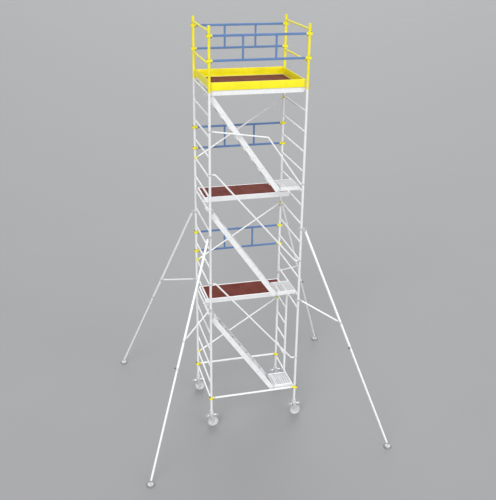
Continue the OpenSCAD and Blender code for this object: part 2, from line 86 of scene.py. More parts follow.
class Nodes:
    """A small helper that adds and links shader nodes."""

    def __init__(self, name):
        self.mat = bpy.data.materials.new(name)
        self.mat.use_nodes = True
        self.tree = self.mat.node_tree
        self.bsdf = self.tree.nodes["Principled BSDF"]
        self.coords = self.add("ShaderNodeTexCoord").outputs["Object"]

    def add(self, kind, **values):
        node = self.tree.nodes.new(kind)
        for key, value in values.items():
            if hasattr(node, key):
                setattr(node, key, value)
            else:
                node.inputs[key.replace("_", " ")].default_value = value
        return node

    def link(self, out, socket):
        self.tree.links.new(out, socket)

    def stretched(self, scale):
        node = self.add("ShaderNodeMapping")
        node.inputs["Scale"].default_value = scale
        self.link(self.coords, node.inputs["Vector"])
        return node.outputs["Vector"]

    def noise(self, scale, detail=3.0, rough=0.5, vector=None):
        node = self.add("ShaderNodeTexNoise", Scale=scale, Detail=detail, Roughness=rough)
        self.link(vector or self.coords, node.inputs["Vector"])
        return node.outputs["Fac"]

    def ramp(self, fac, stops):
        node = self.add("ShaderNodeValToRGB")
        ramp = node.color_ramp
        while len(ramp.elements) < len(stops):
            ramp.elements.new(0.5)
        for element, (pos, colour) in zip(ramp.elements, stops):
            element.position = pos
            element.color = colour
        self.link(fac, node.inputs["Fac"])
        return node.outputs["Color"]

    def span(self, fac, low, high, start=0.3, end=0.7):
        node = self.add("ShaderNodeMapRange")
        for key, value in (("From Min", start), ("From Max", end), ("To Min", low), ("To Max", high)):
            node.inputs[key].default_value = value
        self.link(fac, node.inputs["Value"])
        return node.outputs["Result"]

    def mix(self, fac, a, b):
        node = self.add("ShaderNodeMix", data_type="RGBA")
        self.link(fac, node.inputs["Factor"])
        for value, index in ((a, 6), (b, 7)):
            if isinstance(value, tuple):
                node.inputs[index].default_value = value
            else:
                self.link(value, node.inputs[index])
        return node.outputs[2]

    def bump(self, height, strength, distance, after=None):
        node = self.add("ShaderNodeBump", Strength=strength, Distance=distance)
        self.link(height, node.inputs["Height"])
        if after:
            self.link(after, node.inputs["Normal"])
        return node.outputs["Normal"]

    def finish(self, colour, rough, normal, **constants):
        self.link(colour, self.bsdf.inputs["Base Color"])
        self.link(rough, self.bsdf.inputs["Roughness"])
        self.link(normal, self.bsdf.inputs["Normal"])
        for key, value in constants.items():
            self.bsdf.inputs[key.replace("_", " ")].default_value = value
        return self.mat


def metal(name, base, rough=(0.30, 0.48), grain=(90, 90, 90), metallic=1.0, dirt=0.16):
    """Bare or plated metal: fine drawn grain, cloudy oxide and a little grime."""
    n = Nodes(name)
    grain_fac = n.noise(1.0, 4, 0.6, n.stretched(grain))
    cloud = n.noise(2.2, 5, 0.6)
    grime = n.noise(14, 6, 0.7)
    colour = n.ramp(grain_fac, [(0.30, lerp_colour(base, -0.10)), (0.72, lerp_colour(base, 0.06))])
    colour = n.mix(n.span(cloud, 0, dirt, 0.45, 0.75), colour, lerp_colour(base, -0.45))
    colour = n.mix(n.span(grime, 0, dirt, 0.58, 0.80), colour, (0.18, 0.17, 0.16, 1))
    roughness = n.span(n.noise(30, 4, 0.6), *rough)
    normal = n.bump(grain_fac, 0.18, 0.0008)
    return n.finish(colour, roughness, normal, Metallic=metallic)


def paint(name, base, rough=(0.28, 0.45), wear=0.35, under=(0.60, 0.61, 0.62, 1)):
    """Powder coat: orange peel, faded patches, scuffs that show the metal."""
    n = Nodes(name)
    fade = n.noise(3.0, 4, 0.6)
    scuff = n.noise(34, 7, 0.75)
    scratch = n.noise(1.0, 4, 0.7, n.stretched((160, 12, 22)))
    colour = n.ramp(fade, [(0.30, lerp_colour(base, -0.09)), (0.70, lerp_colour(base, 0.07))])
    colour = n.mix(n.span(scratch, 0, wear, 0.66, 0.80), colour, lerp_colour(base, -0.45))
    colour = n.mix(n.span(scuff, 0, wear, 0.68, 0.78), colour, under)
    peel = n.noise(420, 2, 0.5)
    normal = n.bump(scuff, 0.12, 0.0006, n.bump(peel, 0.10, 0.0003))
    return n.finish(colour, n.span(scuff, *rough), normal, Coat_Weight=0.25, Coat_Roughness=0.25)


def plastic(name, base, rough=(0.42, 0.62), speck=0.12):
    """Moulded plastic, rubber or polyurethane: fine grain and dusty patches."""
    n = Nodes(name)
    dust = n.noise(11, 5, 0.65)
    grain = n.noise(600, 3, 0.6)
    colour = n.ramp(dust, [(0.35, lerp_colour(base, -speck)), (0.75, lerp_colour(base, 2.2 * speck))])
    normal = n.bump(grain, 0.25, 0.0004, n.bump(dust, 0.10, 0.0012))
    return n.finish(colour, n.span(dust, *rough), normal)


def film_plywood(name, base):
    """Resin-filmed plywood: fine anti-slip mesh pressed in, streaks of the veneer, scuffed."""
    n = Nodes(name)
    streak = n.noise(1.0, 5, 0.65, n.stretched((1.6, 26, 26)))
    patch = n.noise(4.5, 5, 0.6)
    wave_x = n.add("ShaderNodeTexWave", bands_direction="X", Scale=95.0)
    wave_y = n.add("ShaderNodeTexWave", bands_direction="Y", Scale=95.0)
    for wave in (wave_x, wave_y):
        n.link(n.coords, wave.inputs["Vector"])
    mesh = n.add("ShaderNodeMath", operation="MAXIMUM")
    n.link(wave_x.outputs["Fac"], mesh.inputs[0])
    n.link(wave_y.outputs["Fac"], mesh.inputs[1])
    colour = n.ramp(streak, [(0.28, lerp_colour(base, -0.28)), (0.50, lerp_colour(base, 0.0)),
                             (0.76, lerp_colour(base, 0.38))])
    colour = n.mix(n.span(patch, 0, 0.45, 0.52, 0.78), colour, lerp_colour(base, -0.40))
    colour = n.mix(n.span(mesh.outputs[0], 0, 0.22, 0.86, 1.0), colour, lerp_colour(base, 0.75))
    normal = n.bump(mesh.outputs[0], 0.35, 0.0006, n.bump(streak, 0.2, 0.0010))
    return n.finish(colour, n.span(patch, 0.62, 0.80), normal, Specular_IOR_Level=0.22)


MATS = {
    "alu": metal("alu_drawn", (0.93, 0.94, 0.95), (0.28, 0.44), (22, 22, 140), 0.30, 0.05),
    "alu_deck": metal("alu_extruded", (0.92, 0.93, 0.94), (0.30, 0.46), (160, 14, 14), 0.28, 0.06),
    "alu_stair": metal("alu_folded", (0.66, 0.67, 0.69), (0.36, 0.54), (60, 60, 60), 0.35, 0.12),
    "weld": metal("alu_weld", (0.80, 0.81, 0.82), (0.36, 0.55), (300, 300, 300), 0.45, 0.15),
    "zinc": metal("zinc_plate", (0.72, 0.73, 0.74), (0.32, 0.50), (50, 50, 50), 0.55, 0.18),
    "steel": metal("bright_steel", (0.60, 0.60, 0.61), (0.22, 0.38), (80, 80, 80), 1.0, 0.12),
    "yellow": paint("yellow_powder_coat", (0.90, 0.80, 0.004), (0.32, 0.48), 0.12),
    "toe": paint("toe_board_yellow", (0.92, 0.82, 0.002), (0.34, 0.50), 0.12),
    "claw": paint("claw_yellow", (0.90, 0.80, 0.004), (0.36, 0.52), 0.20),
    "blue": paint("rail_blue", (0.105, 0.205, 0.43), (0.34, 0.48), 0.16),
    "ply": film_plywood("filmed_plywood", (0.150, 0.022, 0.012)),
    "tyre": plastic("grey_polyurethane", (0.40, 0.41, 0.41)),
    "hub": plastic("hub_nylon", (0.62, 0.63, 0.64), (0.38, 0.52)),
    "pad": plastic("grey_rubber", (0.24, 0.24, 0.25), (0.60, 0.80)),
    # Black plastic for plugs, caps, triggers and grips; the same black also paints the shade inside the
    # outrigger pin holes.
    "black": plastic("black_plastic", (0.045, 0.045, 0.05), (0.35, 0.55), 0.3),
}

# ---------------------------------------------------------------------------
# Mesh building: a Piece gathers shapes, each with its own material
# ---------------------------------------------------------------------------


class Piece:
    """One Blender object made from many simple shapes."""

    def __init__(self, name, body, *nodes, slot=None):
        self.name, self.body, self.nodes, self.slot = name, body, nodes, slot
        self.verts, self.faces, self.face_mats, self.mats = [], [], [], []

    def add(self, shape, mat, at=None):
        verts, faces = shape
        start = len(self.verts)
        self.verts += [at @ v for v in verts] if at else list(verts)
        self.faces += [[start + i for i in face] for face in faces]
        if mat not in self.mats:
            self.mats.append(mat)
        self.face_mats += [self.mats.index(mat)] * len(faces)

    def finish(self, sharp=32):
        mesh = bpy.data.meshes.new(self.name)
        mesh.from_pydata([tuple(v) for v in self.verts], [], self.faces)
        for mat in self.mats:
            mesh.materials.append(MATS[mat])
        mesh.polygons.foreach_set("material_index", self.face_mats)
        bm = bmesh.new()
        bm.from_mesh(mesh)
        bmesh.ops.recalc_face_normals(bm, faces=bm.faces)
        bm.to_mesh(mesh)
        bm.free()
        mesh.polygons.foreach_set("use_smooth", [True] * len(mesh.polygons))
        mesh.set_sharp_from_angle(angle=math.radians(sharp))
        obj = bpy.data.objects.new(self.name, mesh)
        bpy.context.scene.collection.objects.link(obj)
        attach(obj, self.body)
        if self.nodes:
            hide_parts(*self.nodes)
        return obj


def move(x, y, z):
    return Matrix.Translation((x, y, z))


def turn(degrees, axis):
    return Matrix.Rotation(math.radians(degrees), 4, axis)


def frame_at(origin, along, up=(0, 0, 1)):
    """A matrix whose +Z runs along a direction; +X is as near to up as it can be."""
    z = Vector(along).normalized()
    x = Vector(up) - Vector(up).dot(z) * z
    if x.length < 1e-4:
        x = Vector((1, 0, 0)) - z.x * z
    x.normalize()
    y = z.cross(x)
    m = Matrix((x, y, z)).transposed().to_4x4()
    m.translation = Vector(origin)
    return m


def upright(way, y, x=0.0, z=0.0):
    """Stands a flat outline up in the XZ plane; its thickness runs from y towards way * Y."""
    return Matrix(((1, 0, 0, x), (0, 0, way, y), (0, 1, 0, z), (0, 0, 0, 1)))


def along_x(way, y, z, x=0.0):
    """Lays an outline of (depth, height) points so that it runs along X and its depth towards way * Y."""
    return Matrix(((0, 0, 1, x), (way, 0, 0, y), (0, 1, 0, z), (0, 0, 0, 1)))


def loft(rings, caps=True):
    """Skins equal rings of points; caps close the first and last ring."""
    count = len(rings[0])
    verts = [Vector(p) for ring in rings for p in ring]
    faces = []
    for i in range(len(rings) - 1):
        for j in range(count):
            k = (j + 1) % count
            faces.append([i * count + j, i * count + k, (i + 1) * count + k, (i + 1) * count + j])
    if caps:
        faces.append(list(range(count))[::-1])
        faces.append([(len(rings) - 1) * count + j for j in range(count)])
    return verts, faces


def lathe(profile, segs=32):
    """Turns a closed outline of (radius, height) points about Z."""
    verts, faces, rows = [], [], []
    for r, z in profile:
        if r < 1e-7:
            rows.append([len(verts)])
            verts.append(Vector((0, 0, z)))
            continue
        rows.append([len(verts) + j for j in range(segs)])
        for j in range(segs):
            a = 2 * math.pi * j / segs
            verts.append(Vector((r * math.cos(a), r * math.sin(a), z)))
    for a, b in zip(rows, rows[1:] + rows[:1]):
        if len(a) == 1 and len(b) == 1:
            continue
        for j in range(segs):
            k = (j + 1) % segs
            if len(a) == 1:
                faces.append([a[0], b[k], b[j]])
            elif len(b) == 1:
                faces.append([a[j], a[k], b[0]])
            else:
                faces.append([a[j], a[k], b[k], b[j]])
    return verts, faces


def disc(r, z0, z1, edge=0.001, segs=32):
    """A solid disc or rod with chamfered rims."""
    return lathe([(0, z0), (r - edge, z0), (r, z0 + edge), (r, z1 - edge), (r - edge, z1), (0, z1)], segs)


def tube_ring(r_out, r_in, z0, z1, edge=0.0008, segs=32):
    """A hollow tube with chamfered outer rims."""
    return lathe([(r_in, z0), (r_out - edge, z0), (r_out, z0 + edge), (r_out, z1 - edge),
                  (r_out - edge, z1), (r_in, z1)], segs)


def block(x0, x1, y0, y1, z0, z1, edge=0.0015):
    """A box with chamfered edges and corners."""
    e = min(edge, 0.45 * min(x1 - x0, y1 - y0, z1 - z0))
    lo, hi = (x0, y0, z0), (x1, y1, z1)
    verts, index = [], {}
    for corner in range(8):
        s = [(corner >> axis) & 1 for axis in range(3)]
        for axis in range(3):
            p = [(hi[a] if s[a] else lo[a]) if a == axis else (hi[a] - e if s[a] else lo[a] + e)
                 for a in range(3)]
            index[(tuple(s), axis)] = len(verts)
            verts.append(Vector(p))
    faces = []
    square = ((0, 0), (1, 0), (1, 1), (0, 1))
    for axis in range(3):
        b, c = [a for a in range(3) if a != axis]
        for side in (0, 1):
            face = []
            for u, v in square:
                s = [0, 0, 0]
                s[axis], s[b], s[c] = side, u, v
                face.append(index[(tuple(s), axis)])
            faces.append(face)
        for u, v in square:
            ends = []
            for side in (0, 1):
                s = [0, 0, 0]
                s[axis], s[b], s[c] = side, u, v
                ends.append(tuple(s))
            faces.append([index[(ends[0], b)], index[(ends[1], b)], index[(ends[1], c)], index[(ends[0], c)]])
    for corner in range(8):
        s = tuple((corner >> axis) & 1 for axis in range(3))
        faces.append([index[(s, axis)] for axis in range(3)])
    return verts, faces


def prism(outline, z0, z1, edge=0.0):
    """Extrudes a closed outline of (x, y) points along Z, with an optional chamfer."""
    if edge <= 0:
        return loft([[(x, y, z) for x, y in outline] for z in (z0, z1)])
    inner = inset(outline, edge)
    rings = [(inner, z0), (outline, z0 + edge), (outline, z1 - edge), (inner, z1)]
    return loft([[(x, y, z) for x, y in ring] for ring, z in rings])


def inset(outline, amount):
    """Moves a counter-clockwise outline inwards by amount."""
    out, count = [], len(outline)
    for i in range(count):
        a, b, c = (Vector(outline[(i + d) % count]) for d in (-1, 0, 1))
        d1, d2 = (b - a).normalized(), (c - b).normalized()
        n1, n2 = Vector((-d1.y, d1.x)), Vector((-d2.y, d2.x))
        bisector = n1 + n2
        scale = amount / max(0.35, 0.5 * bisector.length_squared)
        out.append(tuple(b + bisector * scale))
    return out


def rim(x0, x1, y0, y1, width, z0, z1, edge):
    """Four chamfered bars that frame a rectangle."""
    bars = ((x0, x1, y0, y0 + width), (x0, x1, y1 - width, y1),
            (x0, x0 + width, y0 + width, y1 - width), (x1 - width, x1, y0 + width, y1 - width))
    verts, faces = [], []
    for bar in bars:
        bar_verts, bar_faces = block(*bar, z0, z1, edge)
        faces += [[len(verts) + i for i in face] for face in bar_faces]
        verts += bar_verts
    return verts, faces


def arc(cx, cy, r, a0, a1, steps):
    """Points on an arc, in degrees."""
    return [(cx + r * math.cos(math.radians(a0 + (a1 - a0) * i / steps)),
             cy + r * math.sin(math.radians(a0 + (a1 - a0) * i / steps))) for i in range(steps + 1)]


def both_sides(outline):
    """Half an outline, below the X axis, and its mirror image above it."""
    return outline + [(x, -y) for x, y in reversed(outline)]


def rounded_rect(w, h, r, steps=3):
    """A centred rectangle outline with round corners, counter-clockwise."""
    out = []
    for cx, cy, a in ((w / 2 - r, h / 2 - r, 0), (r - w / 2, h / 2 - r, 90),
                      (r - w / 2, r - h / 2, 180), (w / 2 - r, r - h / 2, 270)):
        out += arc(cx, cy, r, a, a + 90, steps)
    return out


def hollow(outline, wall, z0, z1):
    """A hollow section: an outline with a constant wall, extruded along Z."""
    inner = inset(outline, wall)
    return loft([[(x, y, z0) for x, y in outline], [(x, y, z1) for x, y in outline],
                 [(x, y, z1) for x, y in inner], [(x, y, z0) for x, y in inner],
                 [(x, y, z0) for x, y in outline]], caps=False)


def sweep(path, r, segs=16, r_in=None):
    """A round tube along a path; open ends are closed, or show the bore when r_in is given."""
    points = [Vector(p) for p in path]
    tangents = []
    for i in range(len(points)):
        a, b = points[max(0, i - 1)], points[min(len(points) - 1, i + 1)]
        tangents.append((b - a).normalized())
    start = frame_at(points[0], tangents[0])
    x_axis = start.to_3x3() @ Vector((1, 0, 0))
    rings = []
    for p, t in zip(points, tangents):
        x_axis = (x_axis - x_axis.dot(t) * t).normalized()
        y_axis = t.cross(x_axis)
        rings.append((p, x_axis.copy(), y_axis))

    def circle(p, x, y, radius):
        return [p + radius * (math.cos(2 * math.pi * j / segs) * x + math.sin(2 * math.pi * j / segs) * y)
                for j in range(segs)]

    outer = [circle(p, x, y, r) for p, x, y in rings]
    if r_in is None:
        return loft(outer)
    inner = [circle(p, x, y, r_in) for p, x, y in reversed(rings)]
    return loft(outer + inner + [outer[0]], caps=False)


def rounded_path(points, radius, steps=6):
    """A polyline whose corners are rounded with arcs."""
    pts = [Vector(p) for p in points]
    out = [pts[0]]
    for a, b, c in zip(pts, pts[1:], pts[2:]):
        d1, d2 = (a - b).normalized(), (c - b).normalized()
        angle = d1.angle(d2)
        cut = min(radius / math.tan(angle / 2), 0.45 * (a - b).length, 0.45 * (c - b).length)
        p0, p1 = b + d1 * cut, b + d2 * cut
        for i in range(steps + 1):
            t = i / steps
            out.append(p0.lerp(b, t).lerp(b.lerp(p1, t), t))
    out.append(pts[-1])
    return out


def tube_between(a, b, r, r_in, segs=28):
    """A hollow tube from a to b."""
    a, b = Vector(a), Vector(b)
    verts, faces = tube_ring(r, r_in, 0, (b - a).length, 0.0006, segs)
    m = frame_at(a, b - a)
    return [m @ v for v in verts], faces


def bolt_head(r, h, flats=6):
    """A hexagon head with a chamfered crown, sitting on z = 0."""
    corners = [math.pi * (2 * i + 1) / flats for i in range(flats)]
    return loft([[(radius * math.cos(a), radius * math.sin(a), z) for a in corners]
                 for radius, z in ((r, 0), (r, 0.75 * h), (0.82 * r, h))])


def dome(r, h, segs=14):
    """A rivet or button head on z = 0."""
    rows = [(r * math.cos(a), h * math.sin(a)) for a in (0.0, 0.5, 1.0)]
    return lathe([(0, 0)] + rows + [(0, h)], segs)


def coped(a, b, r, support_r, support_axis, flutes=0, segs=32, embed=0.0012):
    """A tube from a to b whose ends are coped to round supports, with shallow grip flutes."""
    a, b = Vector(a), Vector(b)
    d = (b - a).normalized()
    w = Vector(support_axis)
    u = w.cross(d)
    segs = 4 * flutes if flutes else segs
    rings = []
    for origin, way in ((a, 1), (b, -1)):
        ring = []
        for j in range(segs):
            t = 2 * math.pi * j / segs
            radius = r - (0.0009 if flutes and j % 4 in (1, 2) else 0)
            side = radius * math.cos(t)
            back = math.sqrt(max(0.0, support_r ** 2 - side ** 2)) - embed
            ring.append(origin + way * back * d + side * u + radius * math.sin(t) * w)
        rings.append(ring)
    return loft(rings)


def bead(origin, d, r, support_r, support_axis, thick=0.0021, steps=28, segs=6):
    """The rippled weld where a tube leaving origin along d meets a round support."""
    origin, d, w = Vector(origin), Vector(d), Vector(support_axis)
    u = w.cross(d)
    path = []
    for i in range(steps):
        t = 2 * math.pi * i / steps
        side = (r + 0.0004) * math.cos(t)
        back = math.sqrt(max(0.0, (support_r + 0.0004) ** 2 - side ** 2))
        path.append(origin + back * d + side * u + (r + 0.0004) * math.sin(t) * w)
    centre = sum(path, Vector()) / steps
    verts, faces = [], []
    for i, p in enumerate(path):
        tangent = (path[(i + 1) % steps] - path[i - 1]).normalized()
        out = (p - centre - (p - centre).dot(tangent) * tangent).normalized()
        side = tangent.cross(out)
        size = thick * (1.0 + 0.16 * (i % 2))
        for j in range(segs):
            q = 2 * math.pi * j / segs
            verts.append(p + size * (math.cos(q) * out + math.sin(q) * side))
    for i in range(steps):
        for j in range(segs):
            k, n = (j + 1) % segs, (i + 1) % steps
            faces.append([i * segs + j, i * segs + k, n * segs + k, n * segs + j])
    return verts, faces


def add_rung(piece, x, z, ya, yb, mat="alu"):
    """A fluted rung along Y with a weld bead at each end."""
    piece.add(coped((x, ya, z), (x, yb, z), RUNG_R, POST_R, (0, 0, 1), flutes=11), mat)
    weld = "weld" if mat == "alu" else mat
    for y, way in ((ya, 1), (yb, -1)):
        piece.add(bead((x, y, z), (0, way, 0), RUNG_R, POST_R, (0, 0, 1)), weld)


def add_post(piece, x, y, z0, z1, mat="alu", spigot=True):
    """A post, with the spigot for the next frame in its top."""
    at = move(x, y, z0)
    h = z1 - z0
    piece.add(tube_ring(POST_R, BORE_R, 0, h, 0.0010, 40), mat, at)
    if spigot:
        r = BORE_R - 0.0006
        piece.add(lathe([(r - 0.003, h - SPIGOT), (r + 0.0006, h - SPIGOT), (r + 0.0006, h - 0.001),
                         (r, h), (r, h + SPIGOT - 0.006), (r - 0.0025, h + SPIGOT),
                         (r - 0.003, h + SPIGOT)], 32), "weld", at)


def add_clip(piece, x, y, z):
    """A sprung wire clip: a ring round the post, a pin into the joint and a finger loop."""
    way = -1 if x > 0 else 1
    ring = [(x + 0.0278 * math.cos(math.radians(a)), y + 0.0278 * math.sin(math.radians(a)), z)
            for a in range(-150, 151, 15)]
    turned = [(x + way * (px - x), py, pz) for px, py, pz in ring]
    piece.add(sweep(turned, 0.0022, 8), "steel")
    knob = frame_at((x + way * 0.0250, y, z), (way, 0, 0))
    piece.add(disc(0.0060, 0, 0.014, 0.001, 12), "steel", knob)


def welded_frame(name, node, side, z0, z1, rungs, mat="alu", spigot=True):
    """Posts, rungs and welds of one end frame; the piece is returned unfinished."""
    piece = Piece(name, "tower", node, slot="frame_tube" if mat == "alu" else "guard_yellow")
    for s in (-1, 1):
        add_post(piece, side * X, s * Y, z0, z1, mat, spigot)
        if spigot:
            add_clip(piece, side * X, s * Y, z1 + 0.027)
    for z in rungs:
        add_rung(piece, side * X, z, -Y, Y, mat)
    return piece


def add_leg_nut(piece, x, y):
    """Cast nut with four lugs under the base post."""
    at = move(x, y, BASE_Z - 0.027)
    piece.add(lathe([(0.0226, 0), (0.030, 0), (0.0324, 0.003), (0.0324, 0.022), (0.030, 0.0262),
                     (0.0226, 0.0262)], 32), "zinc", at)
    for a in (45, 135, 225, 315):
        lug = arc(0.040, 0, 0.0085, -90, 90, 6) + [(0.028, 0.0075), (0.028, -0.0075)]
        piece.add(prism(lug, 0.003, 0.020, 0.0015), "zinc", at @ turn(a, "Z"))


def make_frames():
    """Three lifts of end frames and the guard frames on top; one base frame is walk-through."""
    for side_name, side in SIDES.items():
        for k, level in enumerate(("base", "mid", "top")):
            top = JOINTS_Z[k]
            heights = [DECK_RUNGS[k] - j * RUNG_PITCH for j in range(RUNGS)]
            node = "%s_frame_%s" % (level, side_name)
            walk_through = level == "base" and side > 0
            full = (heights[0], heights[-1]) if walk_through else heights
            piece = welded_frame(node + "_detail", node, side, top - LIFT, top, full)
            if walk_through:
                for z in heights[1:-1]:
                    add_rung(piece, X, z, MID_POST_Y, Y)
                low, high = (X, MID_POST_Y, heights[-1]), (X, MID_POST_Y, heights[0])
                piece.add(coped(low, high, POST_R, RUNG_R, (0, 1, 0)), "alu")
                piece.add(bead(low, (0, 0, 1), POST_R, RUNG_R, (0, 1, 0)), "weld")
                piece.add(bead(high, (0, 0, -1), POST_R, RUNG_R, (0, 1, 0)), "weld")
            if level == "base":
                for s in (-1, 1):
                    add_leg_nut(piece, side * X, s * Y)
            piece.finish()
        node = "guard_frame_" + side_name
        cross = [GUARD_TOP - 0.100, GUARD_TOP - 0.680]
        piece = welded_frame(node + "_detail", node, side, JOINTS_Z[2], GUARD_TOP, cross, "yellow", False)
        for s in (-1, 1):
            cap = lathe([(0, -0.012), (0.0225, -0.012), (0.0225, 0.0002), (POST_R, 0.0002),
                         (POST_R, 0.0016), (0.0236, 0.0031), (0, 0.0032)], 32)
            piece.add(cap, "claw", move(side * X, s * Y, GUARD_TOP))
        piece.finish()


# ---------------------------------------------------------------------------
# Claws, ledgers and braces
# ---------------------------------------------------------------------------

LEDGER_Z = FOOT_RUNG_Z + 0.048
BRACE_Y = Y - 0.057
CLAW_R = 0.034
JAW_TIP = 0.046
NECK_END = 0.062


def rail_heights(node):
    """Centre heights of the lower and upper rail of a panel."""
    low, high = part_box(node)
    half = 0.0225
    return low[2] + half, high[2] - half


PANELS = {"guardrail_low_back": 1, "guardrail_mid_back": 1, "guardrail_top_back": 1,
          "guardrail_top_front": -1}


def claw_places(side):
    """The matrix of each post claw at one end; its +X points along the rail."""
    spots = [(s, LEDGER_Z) for s in (-1, 1)]
    spots += [(s, z) for node, s in PANELS.items() for z in rail_heights(node)]
    for s, z in spots:
        yield move(side * X, s * Y, z) @ turn(180 if side > 0 else 0, "Z")


def add_post_claw(piece, at):
    """A jaw round a post, open away from the rail, and the neck that holds the rail."""
    end = -JAW_TIP
    lip = [(end + 0.004, CLAW_R), (end, CLAW_R - 0.003), (end, 0.0290), (end + 0.003, 0.0270)]
    jaw = arc(0, 0, CLAW_R, -90, 90, 14) + lip + arc(0, 0, 0.0266, 90, -90, 14)
    jaw += [(x, -y) for x, y in reversed(lip)]
    piece.add(prism(jaw, -0.0275, 0.0275, 0.0022), "claw", at)
    neck = [(0.027, -0.0165), (0.045, -0.0125), (NECK_END, -0.0120)]
    piece.add(prism(both_sides(neck), -0.0215, 0.0215, 0.0025), "claw", at)
    piece.add(block(0.030, 0.058, -0.0035, 0.0035, 0.0205, 0.0245, 0.001), "claw", at)
    for s in (-1, 1):
        rivet = at @ frame_at((0.052, s * 0.0120, 0.006), (0, s, 0))
        piece.add(dome(0.0042, 0.0022), "steel", rivet)


def add_rung_claw(piece, at):
    """Hook over a rung; +X of the matrix points along the brace."""
    hook = arc(0, 0, 0.0270, 215, -28, 18) + arc(0, 0, 0.0193, -28, 215, 18)
    tilt = at @ turn(90, "X")
    piece.add(prism(hook[::-1], -0.0165, 0.0165, 0.0018), "claw", tilt)
    neck = [(0.018, -0.0165), (0.040, -0.0170), (0.060, -0.0165)]
    piece.add(prism(both_sides(neck), -0.0130, 0.0130, 0.0025), "claw", tilt)
    piece.add(disc(0.0050, -0.0165, 0.0165, 0.001, 12), "steel", tilt @ move(0.044, 0, 0))
    piece.add(prism(arc(0.030, -0.0200, 0.0060, 0, 330, 8), -0.005, 0.005, 0.001), "black", tilt)


def brace_ends(k):
    low = (-X, BRACE_Y, DECK_RUNGS[k] - 4 * RUNG_PITCH)
    high = (X, BRACE_Y, DECK_RUNGS[k] - RUNG_PITCH)
    return Vector(low), Vector(high)


def make_claws():
    """The yellow claws on posts and rungs, and each end's row of black triggers."""
    piece = Piece("claws_detail", "tower", "claws", slot="claw_yellow")
    for side in SIDES.values():
        for at in claw_places(side):
            add_post_claw(piece, at)
    for k in range(3):
        low, high = brace_ends(k)
        slope = math.degrees(math.atan2(high.z - low.z, high.x - low.x))
        add_rung_claw(piece, Matrix.Translation(low) @ turn(-slope, "Y"))
        add_rung_claw(piece, Matrix.Translation(high) @ turn(180 - slope, "Y"))
    piece.finish()
    for side_name, side in SIDES.items():
        piece = Piece("claw_triggers_%s_detail" % side_name, "triggers_" + side_name,
                      "claw_triggers_" + side_name, slot="trigger_grey")
        for at in claw_places(side):
            x = CLAW_R + 0.003
            piece.add(block(x, x + 0.016, -0.006, 0.006, -0.035, -0.0105, 0.001), "black", at)
            pad = [(-0.001, -0.040), (0.017, -0.040), (0.018, -0.033), (0.014, -0.0315), (0, -0.0335)]
            piece.add(prism(pad, -0.009, 0.009, 0.0012), "black", at @ move(x, 0, 0) @ turn(90, "X"))
            for i in range(3):
                groove = block(0.003, 0.0045, -0.0075, 0.0075, -0.0412, -0.0395, 0.0003)
                piece.add(groove, "black", at @ move(x + 0.005 * i, 0, 0))
        piece.finish()


def make_ledgers_and_braces():
    """The two base ledgers and the three diagonal braces, with ferrules and rivets."""
    piece = Piece("base_ledgers_detail", "tower", "base_ledgers", slot="frame_tube")
    end = X - NECK_END - 0.0002
    for s in (-1, 1):
        piece.add(tube_between((-end, s * Y, LEDGER_Z), (end, s * Y, LEDGER_Z), 0.022, 0.020), "alu")
        for side in (-1, 1):
            at = frame_at((side * end, s * Y, LEDGER_Z), (-side, 0, 0))
            piece.add(tube_ring(0.0232, 0.0221, 0.002, 0.030, 0.0006), "weld", at)
            for a in (0, 180):
                piece.add(dome(0.0036, 0.002), "steel",
                          at @ turn(a, "Z") @ frame_at((0.0230, 0, 0.016), (1, 0, 0), (0, 0, 1)))
    piece.finish()
    for k, level in enumerate(LEVELS):
        piece = Piece("brace_%s_detail" % level, "tower", "brace_" + level, slot="frame_tube")
        low, high = brace_ends(k)
        d = (high - low).normalized()
        a, b = low + 0.060 * d, high - 0.060 * d
        piece.add(tube_between(a, b, BRACE_R, 0.015), "alu")
        for origin, way in ((a, d), (b, -d)):
            at = frame_at(origin, way)
            piece.add(tube_ring(0.0182, 0.0171, 0.001, 0.036, 0.0006), "weld", at)
            rivet = at @ frame_at((0, 0, 0.020), (0, 1, 0))
            piece.add(disc(0.0028, -0.0195, 0.0195, 0.0008, 10), "steel", rivet)
        piece.finish()


# ---------------------------------------------------------------------------
# Guard rails
# ---------------------------------------------------------------------------


def frame_weld(outline, z, thick=0.0016):
    """A weld bead round a hollow section's foot at height z."""
    steps = ((-1.0, 0), (-0.4, 0.8), (0, 1.2), (0, 0), (-1.0, 0))
    rings = [[(x, y, z + rise * thick) for x, y in inset(outline, out * thick)] for out, rise in steps]
    return loft(rings, caps=False)


def make_guardrails():
    """Blue panels: two rectangular rails, plugged at the ends, and two stiles."""
    lengthwise = frame_at((0, 0, 0), (1, 0, 0), (0, 1, 0))
    for node, side in PANELS.items():
        piece = Piece(node + "_detail", "tower", node, slot="rail_blue")
        low, high = rail_heights(node)
        end = X - NECK_END - 0.0002
        for z in (low, high):
            section = rounded_rect(0.025, 0.045, 0.0055)
            at = move(0, side * Y, z) @ lengthwise
            piece.add(hollow(section, 0.0018, -end, end), "blue", at)
            for s in (-1, 1):
                plug = prism(rounded_rect(0.0205, 0.0405, 0.004), end - 0.012, end - 0.001, 0.001)
                piece.add(plug, "black", move(0, side * Y, z) @ turn(0 if s > 0 else 180, "Z") @ lengthwise)
        stile = rounded_rect(0.036, 0.024, 0.0045)
        for s in (-1, 1):
            x = s * 2 * X / 6
            at = move(x, side * Y, 0)
            piece.add(hollow(stile, 0.0018, low + 0.0220, high - 0.0220), "blue", at)
            piece.add(frame_weld(stile, low + 0.0224), "blue", at)
            piece.add(frame_weld(stile, -(high - 0.0224)), "blue", at @ turn(180, "X"))
        piece.finish()


# ---------------------------------------------------------------------------
# Decks, hatch and toe boards
# ---------------------------------------------------------------------------

